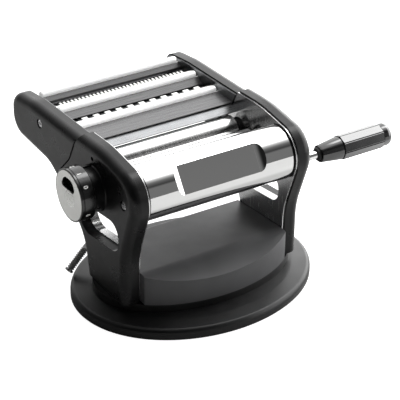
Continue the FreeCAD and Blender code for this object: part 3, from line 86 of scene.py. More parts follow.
# Nodes that are dressed together, each in the finish of its own slot
COVERS = ("left_cover", "right_cover", "left_cutter_cover", "right_cutter_cover")
PLATES = ("left_side_plate", "right_side_plate", "left_cutter_plate", "right_cutter_plate")
FASTENERS = ("tie_rods", "left_rod_screws", "right_rod_nuts", "cutter_screws", "foot_screws")
SMOOTH_ROLLERS = ("back_roller", "front_roller")
CUTTERS = ("fine_cutter_front", "fine_cutter_back", "wide_cutter_front", "wide_cutter_back")
GEARS = ("back_roller_gear", "front_roller_gear", "fine_gear_front", "fine_gear_back",
         "wide_gear_front", "wide_gear_back")
BEARINGS = ("back_roller_bushes", "left_bearing_block", "right_bearing_block", "cutter_bushes")
SCRAPERS = ("front_scraper", "back_scraper")
BAR_GUIDES = ("back_guide", "middle_guide", "front_guide")
COMBS = ("fine_comb", "wide_comb")
DIAL = ("dial_knob", "dial_face", "dial_shaft", "dial_spring", "dial_washer", "detent_pin")
SUCTION = ("cup_stem", "stem_guide", "lift_plate", "cam_shaft", "suction_lever")

# Camera: side of the picture in pixels, sensor in millimetres, furthest distance in metres
IMAGE_SIDE = 400.0
SENSOR_WIDTH = 36.0
CAMERA_REACH = 50.0

# Light round the room, by the angle in degrees from the front over the top: the share of the
# white light behind, and the share of the grey light in front
ROOM_BAND = ((-180.0, 1.0, 0.0), (-95.0, 1.0, 0.0), (-85.0, 0.0, 1.0), (36.0, 0.0, 1.0),
             (43.0, 0.0, 0.3), (50.0, 0.0, 0.5), (58.0, 0.0, 1.0), (67.0, 0.3, 0.0),
             (78.0, 1.0, 0.0), (180.0, 1.0, 0.0))
# How far a direction points towards the crank, from -1 to 1
ROOM_SIDES = (-0.6, 0.4)            # the dial side's share at the first, full at the second
LONG_LIGHT_MIDDLE = 0.46
LONG_LIGHT_ENDS = (0.18, 0.30)      # off its middle: full to the first, none past the second
CARD_EDGE = (0.53, 0.68)            # nothing at the first, full past the second
# The same for the long light's width, as angles off its middle
LONG_LIGHT_SIDES = (math.radians(8.0), math.radians(13.0))

# Where the floor's own light grows from nothing to full, in metres
FLOOR_CRANK_SIDE = (0.16, 0.34)     # along X, for the light on the crank side
FLOOR_CRANK_FRONT = (-0.25, -0.12)  # along Y, for the same light
FLOOR_AHEAD = (0.10, 0.16)          # towards the front, for the light there

# Stretch of the noise in brushed and turned steel, in marks per metre along X, Y and Z
LINES_X = (30.0, 3500.0, 3500.0)
LINES_Z = (3500.0, 3500.0, 30.0)
RINGS_X = (4200.0, 12.0, 12.0)
NOISE_REACH = (0.3, 0.7)    # where most of a noise lies
BAR_SEAM = 0.12 * MM        # how far past a bar's radius its painted white reflection and painted glow go

FONT_SHARE = 1.38           # font size over the height of a number
COIL_TURNS = 2
COIL_SIDES = 10             # faces round the coil's wire
COIL_STEPS = 40             # faces along one turn

# Grip, along its own axis from the mouth of its nose
GRIP_NOSE = 25.0 * MM       # length of the coned nose
GRIP_CAP = 12.0 * MM        # length of the smooth cap
GRIP_CORE = 2.4 * MM        # depth of the core under the corners of the panels
GRIP_SHOULDER = 1.2 * MM    # depth of the nose's and the cap's shoulders
GRIP_GAP = 0.8 * MM         # from the panels to the shoulders
GRIP_CHAMFER = 0.4 * MM
GRIP_DRAFT = 0.1 * MM       # how far the sides of the shoulders lean
GRIP_BORE = 4.1 * MM
GRIP_MOUTH_END = 1.6 * MM   # where the mouth meets the bore
GRIP_END_WALL = 6.0 * MM
DOME_HEIGHT = 7.0 * MM
DOME_STEPS = 14
DOME_STEP = math.radians(6.5)
DOME_POWER = 0.7            # under 1, the dome is fuller than a ball
PANEL_THICK = 3.0 * MM
PANEL_BEVEL = 0.35 * MM

# Rubber ring under the base
RING_WIDTH = 9.0 * MM
TREAD_WIDTH = 1.2 * MM
TREAD_DEPTH = 0.6 * MM

# Rubber sleeve on the lever's end
SLEEVE_START = Vector((-90.1, 57.0, 34.9)) * MM
SLEEVE_TIP = Vector((-107.4, 57.0, 16.8)) * MM
SLEEVE_CORE = 2.9 * MM
SLEEVE_BORE = 2.65 * MM
# One rib: shares of the pitch along it, and of the rib's height
RIB_SHAPE = ((0.12, 0.0), (0.20, 0.6), (0.32, 1.0), (0.56, 1.0), (0.68, 0.6), (0.76, 0.0))

# Turned sections, as heights and radii in millimetres
GRIP_MOUTH = ((0.4, 6.0), (0.0, 6.6), (0.0, 8.0), (0.3, 8.7), (1.0, 9.0))
CUP_UNDER = ((8.7, 4.0), (7.9, 30.0), (6.4, 45.0), (3.9, 60.0), (1.0, 74.0))
CUP_OVER = ((3.1, 76.0), (6.9, 61.0), (9.2, 46.0), (10.7, 31.0), (11.7, 18.5))
CUP_BOSS = 17.0 * MM
CUP_BORE = 4.0 * MM


def in_metres(rings):
    """Heights and radii that are given in millimetres."""
    return [(height * MM, radius * MM) for height, radius in rings]


def centre_of(node):
    """Middle of a node's box."""
    low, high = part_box(node)
    return (low + high) / 2


class StudioSizes(bpy.types.PropertyGroup):
    """Camera, floor and light."""
    view_turn: bpy.props.FloatProperty(
        name="View turn", description="How far the camera stands to the left of the front",
        default=math.radians(32.6), unit="ROTATION", subtype="ANGLE")
    view_rise: bpy.props.FloatProperty(
        name="View rise", description="How far the camera looks down",
        default=math.radians(30.83), unit="ROTATION", subtype="ANGLE")
    view_roll: bpy.props.FloatProperty(
        name="View roll", description="Turn of the camera about its own line of sight",
        default=math.radians(1.01), unit="ROTATION", subtype="ANGLE")
    lens: bpy.props.FloatProperty(
        name="Lens", description="Focal length in millimetres", default=156.55)
    distance: bpy.props.FloatProperty(
        name="Distance", description="From the camera to the middle of the base",
        default=1.7545, unit="LENGTH", subtype="DISTANCE")
    origin_u: bpy.props.FloatProperty(
        name="Origin across", description="Pixel column where the middle of the base lies",
        default=191.47)
    origin_v: bpy.props.FloatProperty(
        name="Origin down", description="Pixel row where the middle of the base lies",
        default=279.17)
    floor_side: bpy.props.FloatProperty(
        name="Floor side", description="Side of the square floor", default=9.0,
        unit="LENGTH", subtype="DISTANCE")
    floor_tone: bpy.props.FloatVectorProperty(
        name="Floor tone", description="Colour of the floor", subtype="COLOR",
        default=(0.44, 0.44, 0.437), min=0.0, max=1.0)
    back_light: bpy.props.FloatProperty(
        name="Back light", description="Strength of the white light above and behind",
        default=2.0)
    front_light: bpy.props.FloatProperty(
        name="Front light", description="Strength of the grey light in front", default=0.19)
    top_light: bpy.props.FloatProperty(
        name="Top light", description="Strength of the long light above the crank side",
        default=6.0)
    top_angle: bpy.props.FloatProperty(
        name="Top light angle", description="Middle of the long light, from the front over the top",
        default=math.radians(101.0), unit="ROTATION", subtype="ANGLE")
    left_share: bpy.props.FloatProperty(
        name="Left share", description="Light on the dial side, as a share of the crank side",
        default=0.07)
    # Painted glow: the guides' bars emit light though they are no lamp, standing in for light on
    # their undersides
    bar_glow: bpy.props.FloatProperty(
        name="Bar glow", description="Light that fills the underside of the guides' bars",
        default=0.25)
    right_light: bpy.props.FloatProperty(
        name="Right light", description="Strength of the white card far out on the crank side",
        default=5.0)
    right_glow: bpy.props.FloatProperty(
        name="Right glow", description="Light from the floor on the crank side", default=1.2)
    floor_glow: bpy.props.FloatProperty(
        name="Floor glow", description="Light that lifts the floor to white for the camera",
        default=0.95)
    front_glow: bpy.props.FloatProperty(
        name="Front glow", description="Light from the floor in front, for the lower chrome",
        default=0.22)


class PieceSizes(bpy.types.PropertyGroup):
    """Sizes of the pieces that are modelled here."""
    digit_height: bpy.props.FloatProperty(
        name="Digit height", description="Height of the numbers on the dial's rim",
        default=4.5 * MM, unit="LENGTH", subtype="DISTANCE")
    digit_weight: bpy.props.FloatProperty(
        name="Digit weight", description="How much bolder than the plain font the numbers are",
        default=0.22 * MM, unit="LENGTH", subtype="DISTANCE")
    digit_relief: bpy.props.FloatProperty(
        name="Digit relief", description="How far the printed numbers stand off the rim",
        default=0.08 * MM, unit="LENGTH", subtype="DISTANCE")
    first_digit: bpy.props.FloatProperty(
        name="First digit", description="Angle of the 0, from straight back towards up",
        default=math.radians(140.0), unit="ROTATION", subtype="ANGLE")
    digit_step: bpy.props.FloatProperty(
        name="Digit step", description="Angle from one number to the next",
        default=math.radians(32.7), unit="ROTATION", subtype="ANGLE")
    rib_count: bpy.props.IntProperty(
        name="Ribs", description="Ribs on the lever's sleeve", default=11)
    rib_height: bpy.props.FloatProperty(
        name="Rib height", description="How far a rib stands off the sleeve",
        default=1.0 * MM, unit="LENGTH", subtype="DISTANCE")
    panel_count: bpy.props.IntProperty(
        name="Grip panels", description="Flat panels round the crank's grip", default=8)
    panel_gap: bpy.props.FloatProperty(
        name="Panel gap", description="Groove between two panels of the grip",
        default=1.0 * MM, unit="LENGTH", subtype="DISTANCE")
    guide_bar: bpy.props.FloatProperty(
        name="Guide bar", description="Radius of the rolled bars of the sheet guides",
        default=3.6 * MM, unit="LENGTH", subtype="DISTANCE")
    coil_wire: bpy.props.FloatProperty(
        name="Coil wire", description="Radius of the wire of the dial's coil",
        default=0.5 * MM, unit="LENGTH", subtype="DISTANCE")
    dial_travel: bpy.props.FloatProperty(
        name="Dial travel", description="How far the dial is pulled out to turn it",
        default=2.5 * MM, unit="LENGTH", subtype="DISTANCE")
    tread_count: bpy.props.IntProperty(
        name="Tread grooves", description="Grooves round the rubber foot ring", default=2)


class FinishColours(bpy.types.PropertyGroup):
    """Colours of the finishes."""
    cover: bpy.props.FloatVectorProperty(
        name="Covers", description="Moulded side covers, end caps and bearings", subtype="COLOR",
        default=(0.0035, 0.0035, 0.0037), min=0.0, max=1.0)
    base: bpy.props.FloatVectorProperty(
        name="Base", description="Oval base and grip", subtype="COLOR",
        default=(0.0035, 0.0035, 0.0037), min=0.0, max=1.0)
    chrome: bpy.props.FloatVectorProperty(
        name="Chrome", description="Front guard, crank rod and rollers", subtype="COLOR",
        default=(0.80, 0.80, 0.795), min=0.0, max=1.0)
    steel: bpy.props.FloatVectorProperty(
        name="Steel", description="Screws, rods, shafts and the spring", subtype="COLOR",
        default=(0.58, 0.58, 0.585), min=0.0, max=1.0)
    plate: bpy.props.FloatVectorProperty(
        name="Plates", description="Side plates, scrapers and lever", subtype="COLOR",
        default=(0.72, 0.72, 0.72), min=0.0, max=1.0)
    # Dark steel; on the cutter unit's plates its darkness also stands in for a painted dark
    # reflection
    dark_steel: bpy.props.FloatVectorProperty(
        name="Dark steel", description="Feed guide and cutter unit's plates", subtype="COLOR",
        default=(0.26, 0.265, 0.27), min=0.0, max=1.0)
    # Painted reflection: the chrome bars are coloured white and barely metallic, standing in for
    # the white room they reflect
    guide_bar: bpy.props.FloatVectorProperty(
        name="Guide bars", description="Bright rolled bars of the sheet guides", subtype="COLOR",
        default=(0.93, 0.93, 0.925), min=0.0, max=1.0)
    # Painted shade: the sheets under the bars are darkened to stand in for the shade and dark
    # reflection on them
    guide_sheet: bpy.props.FloatVectorProperty(
        name="Guide sheets", description="Satin sheets under the bars", subtype="COLOR",
        default=(0.12, 0.12, 0.122), min=0.0, max=1.0)
    # Painted shade: the cutters and their rods are darkened so that the gaps behind the combs read
    # as deep shade
    cutter: bpy.props.FloatVectorProperty(
        name="Cutters", description="Turned discs and rods of the cutter unit", subtype="COLOR",
        default=(0.05, 0.05, 0.052), min=0.0, max=1.0)
    dial_face: bpy.props.FloatVectorProperty(
        name="Dial face", description="Light metal disc of the dial", subtype="COLOR",
        default=(0.72, 0.72, 0.70), min=0.0, max=1.0)
    dial_rim: bpy.props.FloatVectorProperty(
        name="Dial rim", description="Black body of the dial", subtype="COLOR",
        default=(0.004, 0.004, 0.004), min=0.0, max=1.0)
    lever: bpy.props.FloatVectorProperty(
        name="Lever sleeve", description="Ribbed grey sleeve", subtype="COLOR",
        default=(0.34, 0.34, 0.335), min=0.0, max=1.0)
    white: bpy.props.FloatVectorProperty(
        name="White", description="Combs and printed numbers", subtype="COLOR",
        default=(0.82, 0.82, 0.80), min=0.0, max=1.0)
    gear: bpy.props.FloatVectorProperty(
        name="Gears", description="Ivory gear plastic", subtype="COLOR",
        default=(0.70, 0.68, 0.60), min=0.0, max=1.0)
    rubber: bpy.props.FloatVectorProperty(
        name="Rubber", description="Suction cup and foot ring", subtype="COLOR",
        default=(0.022, 0.022, 0.022), min=0.0, max=1.0)
    housing: bpy.props.FloatVectorProperty(
        name="Housing", description="Housing of the suction mechanism", subtype="COLOR",
        default=(0.055, 0.055, 0.057), min=0.0, max=1.0)


def colours():
    return bpy.context.scene.pasta_colours


def sizes():
    return bpy.context.scene.pasta_sizes


def studio():
    return bpy.context.scene.pasta_studio


# Shader nodes
def add_step(tree, operation, *values):
    """One step of arithmetic, between sockets and plain numbers."""
    node = tree.nodes.new("ShaderNodeMath")
    node.operation = operation
    for socket, value in zip(node.inputs, values):
        if isinstance(value, bpy.types.NodeSocket):
            tree.links.new(value, socket)
        else:
            socket.default_value = value
    return node.outputs["Value"]


def add_range(tree, source, start, end, low=0.0, high=1.0, smooth=True):
    """Low where the source is at start, high where it is at end."""
    node = tree.nodes.new("ShaderNodeMapRange")
    node.interpolation_type = "SMOOTHSTEP" if smooth else "LINEAR"
    node.inputs["From Min"].default_value = start
    node.inputs["From Max"].default_value = end
    node.inputs["To Min"].default_value = low
    node.inputs["To Max"].default_value = high
    tree.links.new(source, node.inputs["Value"])
    return node.outputs["Result"]


def add_window(tree, source, middle, full, faded):
    """One within full of the middle, and nothing past faded."""
    away = add_step(tree, "ABSOLUTE", add_step(tree, "SUBTRACT", source, middle))
    return add_range(tree, away, full, faded, 1.0, 0.0)


def split_axes(tree, place):
    """The outputs X, Y and Z of a place or a direction."""
    parts = tree.nodes.new("ShaderNodeSeparateXYZ")
    tree.links.new(place, parts.inputs["Vector"])
    return parts.outputs


# Materials
class Finish:
    """One procedural material, built from its base values and layers of noise."""

    def __init__(self, name, colour, roughness, metallic=0.0, level=0.5, ior=1.5):
        self.material = bpy.data.materials.new(name)
        self.material.use_nodes = True
        self.tree = self.material.node_tree
        self.shader = self.tree.nodes["Principled BSDF"]
        self.colour = tuple(colour)
        self.roughness = roughness
        self.set("Base Color", (*colour, 1.0))
        self.set("Roughness", roughness)
        self.set("Metallic", metallic)
        self.set("Specular IOR Level", level)
        self.set("IOR", ior)
        self.place = self.tree.nodes.new("ShaderNodeTexCoord").outputs["Object"]
        self.normal = None

    def set(self, socket, value):
        self.shader.inputs[socket].default_value = value

    def link(self, source, socket):
        self.tree.links.new(source, self.shader.inputs[socket])

    def noise(self, scale, detail, stretch=(1.0, 1.0, 1.0)):
        """Noise over the piece, with scale in marks per metre along each axis."""
        mapping = self.tree.nodes.new("ShaderNodeMapping")
        mapping.inputs["Scale"].default_value = stretch
        self.tree.links.new(self.place, mapping.inputs["Vector"])
        noise = self.tree.nodes.new("ShaderNodeTexNoise")
        noise.inputs["Scale"].default_value = scale
        noise.inputs["Detail"].default_value = detail
        self.tree.links.new(mapping.outputs["Vector"], noise.inputs["Vector"])
        return noise.outputs["Fac"]

    def spread(self, source, low, high):
        """Maps a noise to a range."""
        return add_range(self.tree, source, *NOISE_REACH, low, high, smooth=False)

    def mix_colour(self, factor, first, second):
        """Base colour between two colours."""
        mix = self.tree.nodes.new("ShaderNodeMix")
        mix.data_type = "RGBA"
        mix.inputs["A"].default_value = (*first, 1.0)
        mix.inputs["B"].default_value = (*second, 1.0)
        self.tree.links.new(factor, mix.inputs["Factor"])
        self.link(mix.outputs["Result"], "Base Color")

    def vary_roughness(self, source, amount):
        """Roughness up to an amount above and below its own."""
        low, high = self.roughness - amount, self.roughness + amount
        self.link(self.spread(source, low, high), "Roughness")

    def vary_colour(self, source, darker, lighter):
        """Colour between a darker and a lighter share of itself."""
        self.mix_colour(self.spread(source, 0.0, 1.0), [c * darker for c in self.colour],
                        [min(1.0, c * lighter) for c in self.colour])

    def bump(self, source, depth):
        """Adds relief of a depth in metres."""
        node = self.tree.nodes.new("ShaderNodeBump")
        node.inputs["Distance"].default_value = depth
        self.tree.links.new(source, node.inputs["Height"])
        if self.normal is not None:
            self.tree.links.new(self.normal, node.inputs["Normal"])
        self.normal = node.outputs["Normal"]
        self.link(self.normal, "Normal")


def moulded(name, colour, roughness, level, grain=0.006 * MM):
    """Moulded plastic: fine grain, faint handling marks and slow unevenness."""
    finish = Finish(name, colour, roughness, level=level)
    finish.vary_roughness(finish.noise(scale=55.0, detail=3.0), amount=0.05)
    finish.vary_colour(finish.noise(scale=22.0, detail=2.0), darker=0.88, lighter=1.16)
    finish.bump(finish.noise(scale=2600.0, detail=1.0), depth=grain)
    finish.bump(finish.noise(scale=38.0, detail=1.0), depth=0.02 * MM)
    return finish.material


def mirror(name, colour, roughness):
    """Polished chrome: faint smudges in the gloss, hardly any relief."""
    finish = Finish(name, colour, roughness, metallic=1.0)
    finish.vary_roughness(finish.noise(scale=40.0, detail=4.0), amount=0.02)
    finish.bump(finish.noise(scale=30.0, detail=1.0), depth=0.004 * MM)
    return finish.material


def brushed(name, colour, roughness, stretch, depth=0.004 * MM, edge=1.0):
    """Steel brushed along the axis whose stretch is the small one; an edge below one dims its flat
    sheen as painted shade.
    """
    finish = Finish(name, colour, roughness, metallic=1.0)
    finish.set("Specular Tint", (edge, edge, edge, 1.0))
    lines = finish.noise(scale=1.0, detail=3.0, stretch=stretch)
    finish.vary_roughness(lines, amount=0.08)
    finish.vary_colour(finish.noise(scale=30.0, detail=3.0), darker=0.90, lighter=1.08)
    finish.bump(lines, depth)
    return finish.material


def glossy(name, colour, roughness, ior):
    """Polished black plastic with a clear sheen and slow unevenness."""
    finish = Finish(name, colour, roughness, level=1.0, ior=ior)
    finish.vary_roughness(finish.noise(scale=50.0, detail=3.0), amount=0.025)
    finish.vary_colour(finish.noise(scale=25.0, detail=2.0), darker=0.85, lighter=1.2)
    finish.bump(finish.noise(scale=45.0, detail=1.0), depth=0.01 * MM)
    return finish.material


def rubber(name, colour, roughness):
    """Soft rubber with bloom and a fine matt grain."""
    finish = Finish(name, colour, roughness, level=0.35)
    finish.vary_roughness(finish.noise(scale=70.0, detail=3.0), amount=0.08)
    finish.vary_colour(finish.noise(scale=45.0, detail=4.0), darker=0.8, lighter=1.35)
    finish.bump(finish.noise(scale=1500.0, detail=2.0), depth=0.012 * MM)
    return finish.material


def barred(name, bar_colour, roughness, metallic):
    """Satin sheet darkened as painted shade, under a rolled bar along its rear edge painted bright
    white as a reflection and given a painted glow.
    """
    finish = Finish(name, bar_colour, roughness, metallic=metallic)
    finish.vary_roughness(finish.noise(scale=1.0, detail=3.0, stretch=LINES_X), amount=0.06)
    tree, radius = finish.tree, sizes().guide_bar
    back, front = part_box("back_guide")[1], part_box("front_guide")[1]
    half_pitch = (back.y - front.y) / (len(BAR_GUIDES) - 1) / 2
    axes = split_axes(tree, finish.place)
    behind = add_step(tree, "SUBTRACT", axes["Y"], back.y - radius)
    behind = add_step(tree, "WRAP", behind, half_pitch, -half_pitch)
    above = add_step(tree, "SUBTRACT", axes["Z"], back.z - radius)
    square = add_step(tree, "ADD", add_step(tree, "MULTIPLY", behind, behind),
                      add_step(tree, "MULTIPLY", above, above))
    sheet = add_step(tree, "GREATER_THAN", add_step(tree, "SQRT", square), radius + BAR_SEAM)
    # Sheet beyond the bars' radius gets the painted shade colour, the bars the painted white
    # reflection
    finish.mix_colour(sheet, bar_colour, colours().guide_sheet)
    # Painted glow on the bars: emission wherever the mask is off the sheet, though the bars are no
    # lamp
    finish.set("Emission Color", WHITE)
    bar = add_step(tree, "SUBTRACT", 1.0, sheet)
    finish.link(add_step(tree, "MULTIPLY", bar, studio().bar_glow), "Emission Strength")
    return finish.material


# The record's slots: the kind of finish, its colour and its own values
FINISHES = {
    "black_cover": (moulded, "cover", {"roughness": 0.30, "level": 0.26}),
    "black_base": (moulded, "base", {"roughness": 0.36, "level": 0.30, "grain": 0.004 * MM}),
    "white_plastic": (moulded, "white", {"roughness": 0.45, "level": 0.45}),
    "gear_plastic": (moulded, "gear", {"roughness": 0.50, "level": 0.45}),
    "bearing": (moulded, "cover", {"roughness": 0.50, "level": 0.40}),
    "housing_grey": (moulded, "housing", {"roughness": 0.42, "level": 0.45, "grain": 0.012 * MM}),
    "chrome": (mirror, "chrome", {"roughness": 0.035}),
    "plate_steel": (brushed, "plate", {"roughness": 0.20, "stretch": LINES_Z,
                                       "depth": 0.001 * MM}),
    # Dark steel, partly a painted dark reflection on the cutter unit's plates
    "guide_steel": (brushed, "dark_steel", {"roughness": 0.30, "stretch": LINES_X}),
    "roller_steel": (brushed, "chrome", {"roughness": 0.14, "stretch": RINGS_X,
                                         "depth": 0.002 * MM}),
    # Cutter steel darkened, and its sheen dimmed by edge, as painted shade in the gaps behind the
    # combs
    "cutter_steel": (brushed, "cutter", {"roughness": 0.30, "stretch": RINGS_X, "edge": 0.4}),
    "dial_silver": (brushed, "dial_face", {"roughness": 0.30, "stretch": RINGS_X,
                                           "depth": 0.003 * MM}),
    "screw_steel": (brushed, "steel", {"roughness": 0.25, "stretch": LINES_X}),
    "spring_steel": (brushed, "steel", {"roughness": 0.22, "stretch": RINGS_X}),
    # Bars painted white as a reflection of the white room, with a painted glow, over sheets in
    # painted shade
    "guide_chrome": (barred, "guide_bar", {"roughness": 0.28, "metallic": 0.12}),
    "dial_black": (glossy, "dial_rim", {"roughness": 0.15, "ior": 1.4}),
    "grip_black": (glossy, "base", {"roughness": 0.09, "ior": 1.6}),
    "rubber": (rubber, "rubber", {"roughness": 0.62}),
    "lever_grey": (rubber, "lever", {"roughness": 0.38}),
}
made = {}       # the materials so far, by slot


def finish_of(slot):
    """The material of one of the record's slots, made when it is first asked for."""
    if slot not in made:
        kind, colour, values = FINISHES[slot]
        made[slot] = kind(slot, getattr(colours(), colour), **values)
    return made[slot]


def slot_of(node):
    """The record's material slot of a node."""
    for entry in frame["record"]["subparts"]:
        if entry["node"] == node:
            return entry["material_slot"]
    raise RuntimeError("the record has no node " + node)


def dress(nodes, slot=None):
    """Gives CAD nodes the finish of their own slot, or of another."""
    for node in nodes:
        for place in NODES[node].material_slots:
            place.material = finish_of(slot or slot_of(node))


# Modelling helpers
def start_clean():
    """Object mode with nothing selected."""
    if bpy.context.object is not None and bpy.context.object.mode != "OBJECT":
        bpy.ops.object.mode_set(mode="OBJECT")
    bpy.ops.object.select_all(action="DESELECT")


def settle(name, slot, body, replaced=(), smooth=40.0):
    """Names the active piece, fixes its place in its mesh and hangs it on its body.

    Edges that turn by less than smooth, in degrees, are shaded as round.
    """
    if bpy.context.object.mode != "OBJECT":
        bpy.ops.object.mode_set(mode="OBJECT")
    piece = bpy.context.object
    piece.name = name
    piece.data.name = name
    bpy.ops.object.transform_apply(location=True, rotation=True, scale=True)
    bpy.ops.object.shade_smooth_by_angle(angle=math.radians(smooth))
    piece.data.materials.clear()
    piece.data.materials.append(finish_of(slot))
    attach(piece, body)
    if replaced:
        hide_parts(*replaced)
    return piece


def apply_modifier(piece, kind, **values):
    """Adds a modifier and applies it."""
    modifier = piece.modifiers.new(kind.title(), kind)
    for name, value in values.items():
        setattr(modifier, name, value)
    bpy.ops.object.modifier_apply(modifier=modifier.name)


def close_ends(bridged):
    """Closes the open ends of the piece in edit mode, by a bridge or by flat faces."""
    bpy.ops.mesh.select_all(action="DESELECT")
    bpy.ops.mesh.select_non_manifold()
    if bridged:
        bpy.ops.mesh.bridge_edge_loops()
    else:
        bpy.ops.mesh.fill_holes(sides=0)
    bpy.ops.mesh.select_all(action="SELECT")
    bpy.ops.mesh.normals_make_consistent(inside=False)
    bpy.ops.object.mode_set(mode="OBJECT")


def turn_rings(rings, steps, ring_closes):
    """Turns a section round Z, from a circle that is extruded and resized ring by ring.

    rings holds pairs of height and radius. A section that closes on itself is bridged from its
    last ring to its first, and an open one gets flat ends.
    """
    start_clean()
    height, radius = rings[0]
    bpy.ops.mesh.primitive_circle_add(vertices=steps, radius=radius, location=(0, 0, height))
    bpy.ops.object.mode_set(mode="EDIT")
    bpy.ops.mesh.select_all(action="SELECT")
    for next_height, next_radius in rings[1:]:
        rise = next_height - height
        bpy.ops.mesh.extrude_region_move(TRANSFORM_OT_translate={"value": (0, 0, rise)})
        share = next_radius / radius
        bpy.ops.transform.resize(value=(share, share, 1.0), center_override=(0, 0, next_height))
        height, radius = next_height, next_radius
    close_ends(ring_closes)
    bpy.ops.object.transform_apply(location=True, rotation=True, scale=True)
    return bpy.context.object


def screw_coil(wire, radius, length):
    """Coil of round wire along X, from 0 to length."""
    start_clean()
    bpy.ops.mesh.primitive_circle_add(vertices=COIL_SIDES, radius=wire, location=(0, 0, 0))
    coil = bpy.context.object
    bpy.ops.object.mode_set(mode="EDIT")
    bpy.ops.mesh.select_all(action="SELECT")
    bpy.ops.transform.translate(value=(wire, radius, 0.0))
    bpy.ops.object.mode_set(mode="OBJECT")
    apply_modifier(coil, "SCREW", axis="X", angle=2 * math.pi, steps=COIL_STEPS,
                   render_steps=COIL_STEPS, iterations=COIL_TURNS,
                   screw_offset=(length - 2 * wire) / COIL_TURNS)
    bpy.ops.object.mode_set(mode="EDIT")
    close_ends(bridged=False)
    return coil


